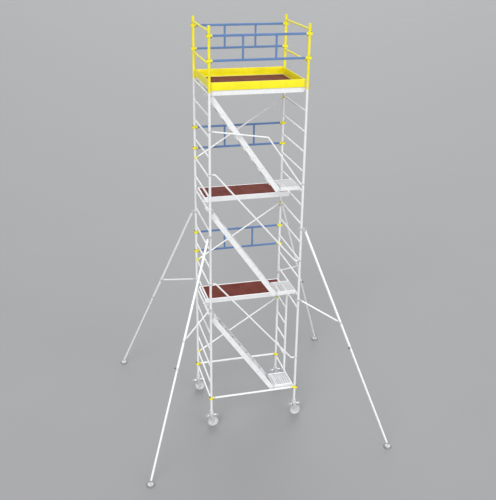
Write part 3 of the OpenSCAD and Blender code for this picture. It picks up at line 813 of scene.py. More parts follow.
BEAM_T = 0.028
BEAM_DEPTH = 0.095
BEAM_X = X - 0.035
BOARD_T = 0.012
END_STRIP = 0.025
DECK_W = 0.660
BACK_Y0 = 0.005
FRONT_Y0 = -BACK_Y0 - DECK_W
HATCH_LO, HATCH_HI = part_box("hatch")
SHORT_X0 = HATCH_HI[0] + 0.003


def channel(width, depth, wall=0.003, lip=0.009):
    """A C section: its web on y = 0, open towards +y, from z 0 to depth, with two shadow grooves."""
    w, d, t = width, depth, wall
    groove = []
    for z in (0.66 * d, 0.34 * d):
        groove += [(0, z + 0.004), (0.0010, z + 0.003), (0.0010, z - 0.003), (0, z - 0.004)]
    return [(0, 0), (w, 0), (w, lip), (w - 0.0022, lip), (w - 0.0022, t), (t, t), (t, d - t),
            (w - 0.0022, d - t), (w - 0.0022, d - lip), (w, d - lip), (w, d), (0, d)] + groove


def add_rung_hook(piece, x, y, z, side, width, reach=0.095):
    """A cast hook over the rung at (x, z); side is +1 where its beam lies towards +X."""
    r_in, r_out = RUNG_R + 0.0004, RUNG_R + 0.0070
    outline = [(-r_out, -0.009), (-r_in, -0.009)] + arc(0, 0, r_in, 180, 0, 14)
    outline += [(r_in, -0.010), (0.034, -0.026), (reach, -0.026), (reach, 0.022)]
    outline += [(0.040, 0.0250)] + arc(0, 0, r_out, 78, 180, 10)
    at = move(x, y, z) @ turn(0 if side > 0 else 180, "Z") @ turn(90, "X")
    piece.add(prism(outline, -width / 2, width / 2, 0.0012), "alu_stair", at)
    lock = [(-0.012, -0.0245), (0.022, -0.0245), (0.030, -0.018), (0.022, -0.0205), (-0.012, -0.0205)]
    piece.add(prism(lock, -width / 4, width / 4, 0.0006), "claw", at)
    for u in (0.050, 0.080):
        for s in (-1, 1):
            piece.add(dome(0.0042, 0.0020, 10), "steel", at @ frame_at((u, -0.004, s * width / 2), (0, 0, s)))


def add_side_beam(piece, k, y_outer, open_to):
    """y_outer is the web's outer face; the channel opens towards open_to along Y."""
    top = DECKS[k]
    section = channel(BEAM_T, BEAM_DEPTH)
    piece.add(prism(section, -BEAM_X, BEAM_X), "alu_deck", along_x(open_to, y_outer, top - BEAM_DEPTH))
    for side in (-1, 1):
        add_rung_hook(piece, side * X, y_outer + open_to * BEAM_T / 2, DECK_RUNGS[k], -side, BEAM_T - 0.007)


def add_cross_member(piece, k, x, ya, yb):
    z = DECKS[k] - BOARD_T - 0.0152
    at = frame_at((x, 0, z), (0, 1, 0), (0, 0, 1))
    piece.add(hollow(rounded_rect(0.030, 0.030, 0.003, 2), 0.002, ya, yb), "alu_deck", at)
    for y, way in ((ya, 1), (yb, -1)):
        angle = [(0, -0.012), (0.020, -0.012), (0.020, -0.009), (0.003, -0.009), (0.003, 0.012), (0, 0.012)]
        piece.add(prism(angle, -0.012, 0.012), "alu_stair", along_x(way, y, z - 0.028, x))


BOARD_X = BEAM_X - END_STRIP - 0.0002
FULL_CROSS = [i * (BEAM_X - 0.020) / 2 for i in range(-2, 3)]
TOP_CROSS = [SHORT_X0 + 0.016, (SHORT_X0 + BEAM_X) / 2, BEAM_X - 0.020]


def add_deck_frame(piece, k, y0, cross_x):
    add_side_beam(piece, k, y0, 1)
    add_side_beam(piece, k, y0 + DECK_W, -1)
    for x in cross_x:
        add_cross_member(piece, k, x, y0 + BEAM_T, y0 + DECK_W - BEAM_T)
    for x in ((-BEAM_X, BEAM_X - END_STRIP) if cross_x[0] < 0 else (BEAM_X - END_STRIP,)):
        piece.add(block(x, x + END_STRIP, y0 + BEAM_T + 0.0002, y0 + DECK_W - BEAM_T - 0.0002,
                        DECKS[k] - BOARD_T, DECKS[k], 0.0012), "alu_deck")


def add_board(piece, k, x0, x1, y0, cross_x):
    """A board with rounded edges and the screws that hold it to the cross members."""
    ya, yb = y0 + BEAM_T + 0.0002, y0 + DECK_W - BEAM_T - 0.0002
    piece.add(block(x0, x1, ya, yb, DECKS[k] - BOARD_T, DECKS[k], 0.0012), "ply")
    for x in cross_x:
        x = max(x0 + 0.008, min(x1 - 0.008, x))
        for i in range(4):
            y = ya + 0.035 + i * (yb - ya - 0.070) / 3
            piece.add(dome(0.0055, 0.0012, 12), "steel", move(x, y, DECKS[k] - 0.0002))


def make_decks():
    """Deck frames with their boards; the top one is two lanes wide round the hatch."""
    for k, level in enumerate(LEVELS):
        piece = Piece("deck_frame_%s_detail" % level, "tower", "deck_frame_" + level, slot="deck_alu")
        boards = Piece("deck_board_%s_detail" % level, "tower", "deck_board_" + level, slot="plywood")
        add_deck_frame(piece, k, BACK_Y0, FULL_CROSS)
        add_board(boards, k, -BOARD_X, BOARD_X, BACK_Y0, FULL_CROSS)
        if level == "top":
            add_deck_frame(piece, k, FRONT_Y0, TOP_CROSS)
            add_board(boards, k, SHORT_X0, BOARD_X, FRONT_Y0, TOP_CROSS)
            top = DECKS[2]
            inner = FRONT_Y0 + DECK_W - BEAM_T
            ledge_z = HATCH_LO[2] - 0.0044
            ledge = block(HATCH_LO[0], HATCH_HI[0], inner - 0.014, inner - 0.0002, ledge_z, ledge_z + 0.004)
            piece.add(ledge, "alu_deck")
            piece.add(block(-BEAM_X, HATCH_LO[0] - 0.003, FRONT_Y0 + BEAM_T + 0.0002, inner - 0.0002,
                            top - 0.026, top), "alu_deck")
            for x in hinge_places():
                add_fixed_leaf(piece, x)
        piece.finish()
        boards.finish()


HINGE_Y, HINGE_Z = JOINTS["hatch_hinge"]["pos_m"][1:]
HINGE_R = 0.005
BARREL = 0.060


def hinge_places():
    middle, length = (HATCH_LO[0] + HATCH_HI[0]) / 2, HATCH_HI[0] - HATCH_LO[0]
    return [middle + i * length / 3 for i in (-1, 0, 1)]


def add_fixed_leaf(piece, x):
    axis = frame_at((x, HINGE_Y, HINGE_Z), (1, 0, 0))
    piece.add(disc(0.0025, -0.045, 0.045, 0.0006, 12), "steel", axis)
    for s in (-1, 1):
        u = s * (BARREL / 2 + 0.0072)
        piece.add(tube_ring(HINGE_R, 0.0026, u - 0.006, u + 0.006, 0.0006, 20), "zinc", axis)
        piece.add(block(x + u - 0.006, x + u + 0.006, HINGE_Y - 0.028, HINGE_Y - 0.003,
                        HINGE_Z - 0.0048, HINGE_Z - 0.0020, 0.0006), "zinc")
        piece.add(dome(0.0035, 0.0014, 10), "steel", move(x + u, HINGE_Y - 0.018, HINGE_Z - 0.0021))


def make_hatch():
    """The trimmed hatch board with its hinge leaves and the ring latch."""
    piece = Piece("hatch_detail", "hatch", "hatch", slot="plywood")
    (x0, _, z0), (x1, y1, _) = HATCH_LO, HATCH_HI
    y0, top = HINGE_Y + 0.007, DECKS[2]
    trim = 0.018
    piece.add(block(x0 + 0.002, x1 - 0.002, y0 + 0.002, y1 - 0.002, z0 + 0.001, top - 0.0004, 0.0008), "ply")
    for low, high in ((top - 0.0030, top), (z0, z0 + 0.0025)):
        piece.add(rim(x0, x1, y0, y1, trim, low, high, 0.0006), "alu_deck")
    for x in hinge_places():
        axis = frame_at((x, HINGE_Y, HINGE_Z), (1, 0, 0))
        piece.add(tube_ring(HINGE_R, 0.0026, -BARREL / 2, BARREL / 2, 0.0006, 20), "zinc", axis)
        piece.add(block(x - BARREL / 2, x + BARREL / 2, HINGE_Y + 0.003, HINGE_Y + 0.060,
                        HINGE_Z - 0.0048, HINGE_Z - 0.0018, 0.0006), "zinc")
        for u in (-0.018, 0.018):
            piece.add(dome(0.0038, 0.0016, 10), "steel", move(x + u, HINGE_Y + 0.042, HINGE_Z - 0.0019))
    latch = move((x0 + x1) / 2, y1 - 0.045, top - 0.0002)
    cup = [(0.014, 0), (0.020, 0), (0.0215, 0.0012), (0.020, 0.0024), (0.014, 0.0016)]
    piece.add(lathe(cup, 24), "zinc", latch)
    piece.add(disc(0.0135, 0, 0.0012, 0.0004, 20), "black", latch)
    piece.finish()


def make_toe_boards():
    """Four plain boards with corner brackets and bolts."""
    piece = Piece("toe_boards_detail", "tower", "toe_boards", slot="toe_yellow")
    lo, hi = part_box("toe_boards")
    thick, z0, z1 = 0.020, lo[2], hi[2]
    end_x = BEAM_X - 0.012
    slim = 0.0035
    for s in (-1, 1):
        y = s * (hi[1] - thick / 2)
        section = rounded_rect(thick - slim, z1 - z0, 0.006, 4)
        piece.add(prism(section, lo[0], hi[0]), "toe", along_x(1, y, (z0 + z1) / 2))
        length = -FRONT_Y0
        piece.add(prism(section, -length, length), "toe", upright(-1, 0, s * end_x, (z0 + z1) / 2))
        for side in (-1, 1):
            corner = move(side * end_x, s * (-FRONT_Y0 + 0.0015), 0)
            piece.add(block(-0.011, 0.011, -0.0140, 0.0030, z0 + 0.020, z1 - 0.020, 0.002), "claw", corner)
            for z in (z0 + 0.045, z1 - 0.045):
                bolt = frame_at((side * end_x, s * hi[1] - s * 0.0015, z), (0, s, 0))
                piece.add(bolt_head(0.0052, 0.0032), "steel", bolt)
                washer = frame_at((side * end_x, s * hi[1] - s * 0.0022, z), (0, s, 0))
                piece.add(disc(0.0078, 0, 0.0012, 0.0003, 16), "steel", washer)
    piece.finish()


# ---------------------------------------------------------------------------
# Stairs and handrails
# ---------------------------------------------------------------------------

TREADS = 8
TREAD_DEPTH = 0.120
TREAD_H = 0.030
STRINGER_T = 0.025
STRINGER_DEPTH = 0.100
LANDING_RISE = 0.080
FOOT_X = 0.445
STAIR_Y0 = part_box("stair_low")[0][1]
STAIR_Y1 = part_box("stair_low")[1][1]
FLIGHT_TOP = Vector((-X + 0.052, 0, -0.071))
FLIGHT_FOOT = Vector((FOOT_X, 0, FOOT_RUNG_Z + LANDING_RISE - 0.045 - DECK_RUNGS[0]))


def perforated(x0, x1, y0, y1, z_top, thick, pitch, hole_r):
    """A plate with a grid of real round holes."""
    nx, ny = max(1, round((x1 - x0) / pitch)), max(1, round((y1 - y0) / pitch))
    dx, dy = (x1 - x0) / nx, (y1 - y0) / ny
    verts, faces = [], []
    wide = 2 * ny + 1
    for z in (z_top, z_top - thick):
        for i in range(2 * nx + 1):
            for j in range(wide):
                verts.append(Vector((x0 + i * dx / 2, y0 + j * dy / 2, z)))
    layer = (2 * nx + 1) * wide

    def grid(i, j, low):
        return low * layer + i * wide + j

    around = ((1, 0), (1, 1), (0, 1), (-1, 1), (-1, 0), (-1, -1), (0, -1), (1, -1))
    for i in range(nx):
        for j in range(ny):
            ci, cj = 2 * i + 1, 2 * j + 1
            cx, cy = x0 + ci * dx / 2, y0 + cj * dy / 2
            ring = []
            for low in (0, 1):
                ring.append(len(verts))
                rim_z = z_top - low * thick
                verts += [Vector((x, y, rim_z)) for x, y in arc(cx, cy, hole_r, 0, 315, 7)]
            for n in range(8):
                m = (n + 1) % 8
                for low in (0, 1):
                    outside = [grid(ci + around[q][0], cj + around[q][1], low) for q in (m, n)]
                    faces.append([ring[low] + n, ring[low] + m] + outside)
                faces.append([ring[0] + n, ring[0] + m, ring[1] + m, ring[1] + n])
    for i in range(2 * nx):
        for j in (0, wide - 1):
            faces.append([grid(i, j, 0), grid(i + 1, j, 0), grid(i + 1, j, 1), grid(i, j, 1)])
    for j in range(wide - 1):
        for i in (0, 2 * nx):
            faces.append([grid(i, j, 0), grid(i, j + 1, 0), grid(i, j + 1, 1), grid(i, j, 1)])
    # the grid's centre points lie inside the holes and carry no face, so they are dropped
    used = sorted({v for face in faces for v in face})
    renumber = {old: new for new, old in enumerate(used)}
    return [verts[i] for i in used], [[renumber[i] for i in face] for face in faces]


def add_tray(piece, x0, x1, y0, y1, z_top, pitch):
    """A folded tread or landing: perforated top, turned-down rims and a toothed nosing."""
    plain, fold, sheet = 0.012, 0.0025, 0.0022
    holes = (x0 + plain, x1 - plain, y0 + plain, y1 - plain)
    piece.add(perforated(*holes, z_top, sheet, pitch, 0.31 * pitch), "alu_stair")
    piece.add(rim(x0, x1, y0, y1, plain, z_top - sheet, z_top, 0.0007), "alu_stair")
    piece.add(rim(x0, x1, y0, y1, fold, z_top - TREAD_H, z_top - sheet, 0.0006), "alu_stair")
    margin, tooth_pitch = 0.020, 0.022
    run = y1 - y0 - 2 * margin
    teeth = int(run / tooth_pitch)
    for i in range(teeth):
        y = y0 + margin + (i + 0.5) * run / teeth
        tooth = block(x1 - 0.0095, x1 - 0.0025, y - 0.006, y + 0.006, z_top - 0.0005, z_top + 0.0012, 0.0005)
        piece.add(tooth, "weld")


def make_stair(k, level):
    """A flight: two channel stringers, hooks and gussets, treads and the landing."""
    piece = Piece("stair_%s_detail" % level, "tower", "stair_" + level, slot="stair_alu")
    base = Vector((0, 0, DECK_RUNGS[k]))
    foot, top = FLIGHT_FOOT + base, FLIGHT_TOP + base
    d = (top - foot).normalized()
    up = Vector((-d.z, 0, d.x)) * -1
    landing = FOOT_RUNG_Z + k * LIFT + LANDING_RISE
    slope = math.atan2(top.z - foot.z, foot.x - top.x)
    length = (top - foot).length
    sides = ((STAIR_Y0, 1), (STAIR_Y1, -1))
    for y, open_to in sides:
        # channel axes: outline x to Y, outline y across the stringer, length along the flight
        m = Matrix(((0, up.x, d.x, foot.x - STRINGER_DEPTH / 2 * up.x), (open_to, 0, 0, y),
                    (0, up.z, d.z, foot.z - STRINGER_DEPTH / 2 * up.z), (0, 0, 0, 1)))
        piece.add(prism(channel(STRINGER_T, STRINGER_DEPTH, 0.003, 0.010), -0.020, length), "alu_deck", m)
        add_rung_hook(piece, -X, y + open_to * STRINGER_T / 2, DECK_RUNGS[k], 1, STRINGER_T - 0.004, 0.088)
        plate = [(0.030, -0.022), (0.026, -0.078), (0.072, -0.092), (0.105, -0.066), (0.084, -0.022)]
        web = upright(open_to, y + open_to * 0.004, -X, DECK_RUNGS[k])
        piece.add(prism(plate, 0, 0.008, 0.0008), "alu_stair", web)
        for u, v in ((0.046, -0.040), (0.070, -0.040), (0.062, -0.074), (0.086, -0.066)):
            piece.add(dome(0.0045, 0.0022, 12), "steel", web @ move(u, v, 0.008))
        beam = channel(STRINGER_T, 0.070, 0.003, 0.008)
        run = along_x(open_to, y, landing - 0.0702)
        piece.add(prism(beam, FOOT_X + 0.062, BEAM_X), "alu_deck", run)
        add_rung_hook(piece, X, y + open_to * STRINGER_T / 2, landing - LANDING_RISE, -1, STRINGER_T - 0.004)
        gusset = [(-0.030, 0.030), (0.020, -0.008), (0.100, -0.008), (0.100, -0.064), (-0.030, -0.100)]
        inner = y + open_to * 0.0040
        piece.add(prism(gusset, 0, 0.004, 0.0006), "alu_stair", upright(1, inner - 0.002, FOOT_X, landing))
    y0, y1 = STAIR_Y0 + STRINGER_T + 0.0002, STAIR_Y1 - STRINGER_T - 0.0002
    rise = (DECKS[k] - landing) / (TREADS + 1)
    for i in range(1, TREADS + 1):
        z = landing + i * rise
        x = FOOT_X - (z - landing + 0.030) / math.tan(slope) - TREAD_DEPTH / 2
        add_tray(piece, x, x + TREAD_DEPTH, y0, y1, z, 0.032)
        for y, open_to in sides:
            for u in (0.042, 0.078):
                bolt = frame_at((x + u, y - open_to * 0.0002, z - 0.016), (0, -open_to, 0))
                piece.add(bolt_head(0.0060, 0.0040), "steel", bolt)
    add_tray(piece, FOOT_X + 0.030, BEAM_X, y0, y1, landing, 0.048)
    for x in (FOOT_X + 0.12, (FOOT_X + BEAM_X) / 2 + 0.03, BEAM_X - 0.06):
        stiffener = hollow(rounded_rect(0.025, 0.022, 0.002, 2), 0.002, y0 + 0.003, y1 - 0.003)
        piece.add(stiffener, "alu_deck", frame_at((x, 0, landing - 0.017), (0, 1, 0), (0, 0, 1)))
    piece.finish()


def add_rail_hook(piece, side, z):
    """A flat hook round the outer face of a front post, riveted to the handrail."""
    at = move(side * X, -Y, z)
    a0, a1 = (-205, 25) if side < 0 else (155, 385)
    outer = arc(0, 0, POST_R + 0.0055, a0, a1, 18)
    inner = arc(0, 0, POST_R + 0.0006, a1, a0, 18)
    piece.add(prism(outer + inner, -0.016, 0.016, 0.0008), "zinc", at)
    tab = block(POST_R + 0.001, POST_R + 0.030, -0.005, 0.005, -0.013, 0.013, 0.001)
    piece.add(tab, "zinc", at @ turn(0 if side < 0 else 180, "Z"))


def handrail(piece, points):
    path = rounded_path([(x, -Y, z) for x, z in points], 0.060)
    piece.add(sweep(path, BRACE_R, 24, 0.015), "alu")
    for side, (x, z) in ((-1, points[0]), (1, points[-1])):
        add_rail_hook(piece, side, z)
        ferrule = frame_at((x, -Y, z), (-side, 0, 0))
        piece.add(tube_ring(0.0186, 0.0171, -0.002, 0.026, 0.0006, 24), "weld", ferrule)


RAIL_END = X - POST_R - 0.019


def make_handrails():
    piece = Piece("stair_handrails_detail", "tower", "stair_handrails", slot="frame_tube")
    for k in (0, 1):
        high, low = DECK_RUNGS[k] + 0.770, DECK_RUNGS[k] - 1.190
        bend = RAIL_END - 0.060
        handrail(piece, [(-RAIL_END, high), (-bend, high), (bend, low), (RAIL_END, low)])
    piece.finish()
    piece = Piece("top_handrail_detail", "tower", "top_handrail", slot="frame_tube")
    drops = ((-RAIL_END, 0.690), (0.200, 0.857), (RAIL_END - 0.040, 1.800), (RAIL_END, 1.840))
    handrail(piece, [(x, DECK_RUNGS[2] - drop) for x, drop in drops])
    piece.finish()


# ---------------------------------------------------------------------------
# Castors
# ---------------------------------------------------------------------------

FLANGE_Z = 0.332
WHEEL_R = 0.125
TRAIL = JOINTS["castor_roll_rb"]["pos_m"][0] - X
CHEEK_Y = 0.032
CHEEK_T = 0.005
BRAKE_X, BRAKE_Z = JOINTS["castor_brake_rb"]["pos_m"][0] - X, JOINTS["castor_brake_rb"]["pos_m"][2]


def threaded(r, depth, pitch, z0, z1, segs=28, per_turn=5):
    """A rod with a real helical thread between z0 and z1."""
    rows = int(per_turn * (z1 - z0) / pitch)
    rings = []
    for i in range(rows + 1):
        ring = []
        for j in range(segs):
            phase = (i / per_turn - j / segs) % 1.0
            fade = min(1.0, i / 4, (rows - i) / 4)
            rr = r - fade * depth * min(1.0, max(0.0, abs(2 * phase - 1) * 2.2 - 0.6))
            a = 2 * math.pi * j / segs
            ring.append((rr * math.cos(a), rr * math.sin(a), z0 + (z1 - z0) * i / rows))
        rings.append(ring)
    return loft(rings)


def castor_piece(part, c, slot):
    name = "castor_%s_%s" % (part, c)
    return Piece(name + "_detail", name, name, slot=slot)


def make_castor_leg(c, at):
    """Threaded leg with a flange that its castor turns under."""
    leg = castor_piece("leg", c, "zinc_steel")
    z = FLANGE_Z
    leg.add(threaded(0.0224, 0.0022, 0.009, z + 0.010, z + 0.330), "zinc", at)
    leg.add(tube_ring(0.0200, 0.0180, z + 0.328, z + 0.420), "zinc", at)
    flange = [(0, 0), (0.042, 0), (0.044, 0.002), (0.044, 0.006), (0.040, 0.009), (0.027, 0.010),
              (0.024, 0.016), (0, 0.016)]
    leg.add(lathe(flange, 40), "zinc", at @ move(0, 0, z))
    leg.add(disc(0.010, z - 0.024, z + 0.002, 0.001, 24), "steel", at)
    leg.finish()


def make_castor_fork(c, at):
    """Swivel head and two pressed cheeks with their ribs, axle nuts and bolts."""
    fork = castor_piece("fork", c, "zinc_steel")
    head = [(0.0101, -0.021), (0.040, -0.021), (0.0455, -0.016), (0.046, -0.010), (0.043, -0.007),
            (0.043, -0.004), (0.0455, -0.002), (0.044, 0), (0.0101, 0)]
    fork.add(lathe(head, 40), "zinc", at @ move(0, 0, FLANGE_Z - 0.0005))
    back, front, top, waist = -0.034, 0.046, FLANGE_Z - 0.0215, FLANGE_Z - 0.040
    cheek = [(back, top), (back, waist), (TRAIL - 0.0245, WHEEL_R + 0.006)]
    cheek += arc(TRAIL, WHEEL_R, 0.022, 160, 380, 14) + [(front, waist), (front, top)]
    rib = [(0.000, FLANGE_Z - 0.034), (TRAIL - 0.014, WHEEL_R + 0.026), (TRAIL - 0.006, WHEEL_R + 0.026),
           (0.012, FLANGE_Z - 0.034)]
    for s in (-1, 1):
        side = at @ upright(s, s * CHEEK_Y)
        axle = side @ move(TRAIL, WHEEL_R, 0)
        fork.add(prism(cheek, 0, CHEEK_T, 0.0008), "zinc", side)
        fork.add(prism(rib, CHEEK_T - 0.0006, CHEEK_T + 0.0030, 0.0010), "zinc", side)
        fork.add(disc(0.0135, CHEEK_T, CHEEK_T + 0.0016, 0.0004, 24), "steel", axle)
        fork.add(bolt_head(0.0125, 0.0078), "steel", axle @ move(0, 0, CHEEK_T + 0.0015))
        fork.add(dome(0.0045, 0.002), "steel", side @ move(0.030, FLANGE_Z - 0.030, CHEEK_T))
        foot = block(back, front, -0.002, 0.004, top - 0.005, top + 0.0007, 0.0008)
        fork.add(foot, "zinc", at @ move(0, s * (CHEEK_Y + 0.0008), 0))
    axle = at @ frame_at((TRAIL, 0, WHEEL_R), (0, 1, 0))
    fork.add(disc(0.0078, -CHEEK_Y - 0.012, CHEEK_Y + 0.012, 0.001, 24), "steel", axle)
    fork.finish()


def make_castor_wheel(c, at):
    """Tyre on a spoked nylon wheel with a long hub and two washers."""
    wheel = castor_piece("wheel", c, "castor_tyre")
    hub = at @ frame_at((TRAIL, 0, WHEEL_R), (0, 1, 0))
    half, rim_r = 0.025, WHEEL_R - 0.022
    tyre = [(rim_r, 0.003 - half), (WHEEL_R - 0.014, -half)]
    for a in (-90, -50, -15):
        tyre.append((WHEEL_R - 0.006 + 0.006 * math.cos(math.radians(a)),
                     0.009 - half + 0.009 * math.sin(math.radians(a))))
    tyre += [(WHEEL_R, -0.006), (WHEEL_R, 0.006)]
    tyre += [(r, -z) for r, z in reversed(tyre[:-2])]
    wheel.add(lathe(tyre, 64), "tyre", hub)
    band = [(rim_r - 0.009, -0.006), (rim_r - 0.007, 0.002 - half), (rim_r + 0.0008, 0.002 - half)]
    wheel.add(lathe(both_sides(band), 64), "hub", hub)
    wheel.add(lathe(both_sides([(0.022, -0.004), (rim_r - 0.006, -0.004)]), 48), "hub", hub)
    bush = [(0.0082, -0.0305), (0.0175, -0.0305), (0.0200, -0.0280), (0.0225, -0.016)]
    wheel.add(lathe(both_sides(bush), 32), "hub", hub)
    spoke = both_sides([(0.020, -0.0028), (rim_r - 0.006, -0.0020)])
    for i in range(8):
        wheel.add(prism(spoke, -0.017, 0.017, 0.0008), "hub", hub @ turn(45 * i, "Z"))
    for s in (-1, 1):
        washer = [(0.0086, 0.0304), (0.0150, 0.0304), (0.0150, 0.0312), (0.0086, 0.0312)]
        wheel.add(lathe([(r, s * z) for r, z in washer], 24), "steel", hub)
    wheel.finish()


def make_castor_brake(c, at):
    """Rocker pedal: press the front plate to brake, the rear plate to release."""
    brake = castor_piece("brake", c, "brake_pedal")
    pivot = at @ move(BRAKE_X, 0, BRAKE_Z)
    brake.add(disc(0.005, -0.0385, 0.0385, 0.0006, 16), "steel", pivot @ frame_at((0, 0, 0), (0, 1, 0)))
    plate = [(-0.012, -0.021), (0.010, -0.026), (0.085, -0.026), (0.098, -0.034)]
    plate += arc(0.122, -0.026, 0.008, -90, 0, 4)
    brake.add(prism(both_sides(plate), -0.004, 0.001, 0.001), "zinc", pivot)
    flange = prism([(-0.008, -0.010), (0.090, -0.008), (0.090, 0.0005), (-0.008, 0.006)], 0, 0.0025, 0.0005)
    for s in (-1, 1):
        brake.add(flange, "zinc", pivot @ upright(s, s * 0.0235))
    brake.add(block(-0.088, -0.002, -0.021, 0.021, -0.0095, -0.0045, 0.001), "zinc", pivot)
    release = [(-0.066, 0.022), (-0.088, 0.034)] + arc(-0.130, 0.026, 0.008, 90, 180, 4)
    brake.add(prism(both_sides(release), -0.0100, -0.0040, 0.001), "zinc", pivot)
    for i in range(5):
        for x, z0, z1, edge in ((0.094, 0.0005, 0.0029, 0.0007), (-0.131, -0.0044, -0.0031, 0.0005)):
            grip = block(0, 0.0035, -0.028, 0.028, z0, z1, edge)
            brake.add(grip, "black", pivot @ move(x + 0.007 * i, 0, 0))
    shoe = [(0.044, -0.0200), (0.060, -0.0215), (0.066, -0.018), (0.066, -0.002), (0.044, -0.002)]
    brake.add(prism(shoe, -0.016, 0.016, 0.001), "black", pivot @ turn(90, "X"))
    brake.finish()


# ---------------------------------------------------------------------------
# Outriggers
# ---------------------------------------------------------------------------

CLAMP_Z = JOINTS["outrigger_swing_rb"]["pos_m"][2]
STRUT_Z = 2.870
FOOT = Vector(JOINTS["outrigger_foot_tilt_rb"]["pos_m"])
REACH = math.hypot(FOOT.x - X, FOOT.y - Y)
LEG_TOP = Vector((0.080, 0, CLAMP_Z - 0.015))
LEG_END = Vector((REACH, 0, FOOT.z))
LEG_LEN = (LEG_END - LEG_TOP).length
LEG_DIR = (LEG_END - LEG_TOP).normalized()
STRUT_AT = 0.42 * LEG_LEN
OUTER_LEN = 0.54 * LEG_LEN
INNER_FROM = STRUT_AT + 0.060
INNER_R = BORE_R - 0.0006


def leg_at(t):
    """The point t metres down the leg's axis."""
    return LEG_TOP + t * LEG_DIR


def add_clamp(piece, at, z, lug):
    """A half-coupler round the post: two shells, a hinge bolt and a wing bolt."""
    here = at @ move(0, 0, z)
    for a0 in (8, 188):
        shell = arc(0, 0, 0.0345, a0, a0 + 164, 16) + arc(0, 0, POST_R + 0.0006, a0 + 164, a0, 16)
        piece.add(prism(shell, -0.0270, 0.0270, 0.0015), "alu_stair", here)
        rib = arc(0, 0, 0.0362, a0 + 4, a0 + 160, 14) + arc(0, 0, 0.0335, a0 + 160, a0 + 4, 14)
        for band in (-0.017, 0.017):
            piece.add(prism(rib, band - 0.004, band + 0.004, 0.0008), "alu_stair", here)
    ear = both_sides([(0.029, -0.011), (lug, -0.011)])
    piece.add(prism(ear, -0.022, 0.022, 0.002), "alu_stair", here)
    rear = both_sides([(-0.045, -0.00715), (-0.030, -0.00715)])
    for u in (-0.0095, 0.0095):
        piece.add(prism(rear, -0.014, 0.014, 0.001), "alu_stair", here @ move(0, u, 0))
    bolt = here @ frame_at((-0.0395, 0, 0), (0, 1, 0))
    piece.add(disc(0.0042, -0.026, 0.030, 0.0006, 12), "steel", bolt)
    piece.add(bolt_head(0.0082, 0.006), "steel", bolt @ move(0, 0, 0.0168))
    half = [(0.004, -0.003), (0.007, 0.004), (0.020, 0.012)] + arc(0.018, 0.017, 0.005, -30, 120, 5)
    half.append((0.006, 0.012))
    wing = half + [(-x, y) for x, y in reversed(half)]
    flat = here @ Matrix(((1, 0, 0, -0.0395), (0, -1, 0, -0.0170), (0, 0, 1, 0), (0, 0, 0, 1)))
    piece.add(prism(wing, -0.003, 0.003, 0.0008), "zinc", flat)


def add_collar(piece, at, t0, t1):
    """A sleeve with two raised bands round the leg, from t0 to t1; returns its place."""
    m = at @ frame_at(leg_at(t0), LEG_DIR)
    h = t1 - t0
    lower = [(POST_R + 0.0001, 0), (0.0290, 0), (0.0314, 0.004), (0.0314, 0.012), (0.0298, 0.014)]
    upper = [(r, h - z) for r, z in reversed(lower)]
    piece.add(lathe(lower + upper, 32), "alu_stair", m)
    return m


def outrigger_piece(part, c, slot):
    name = part + "_" + c
    return Piece(name + "_detail", name, name, slot=slot)


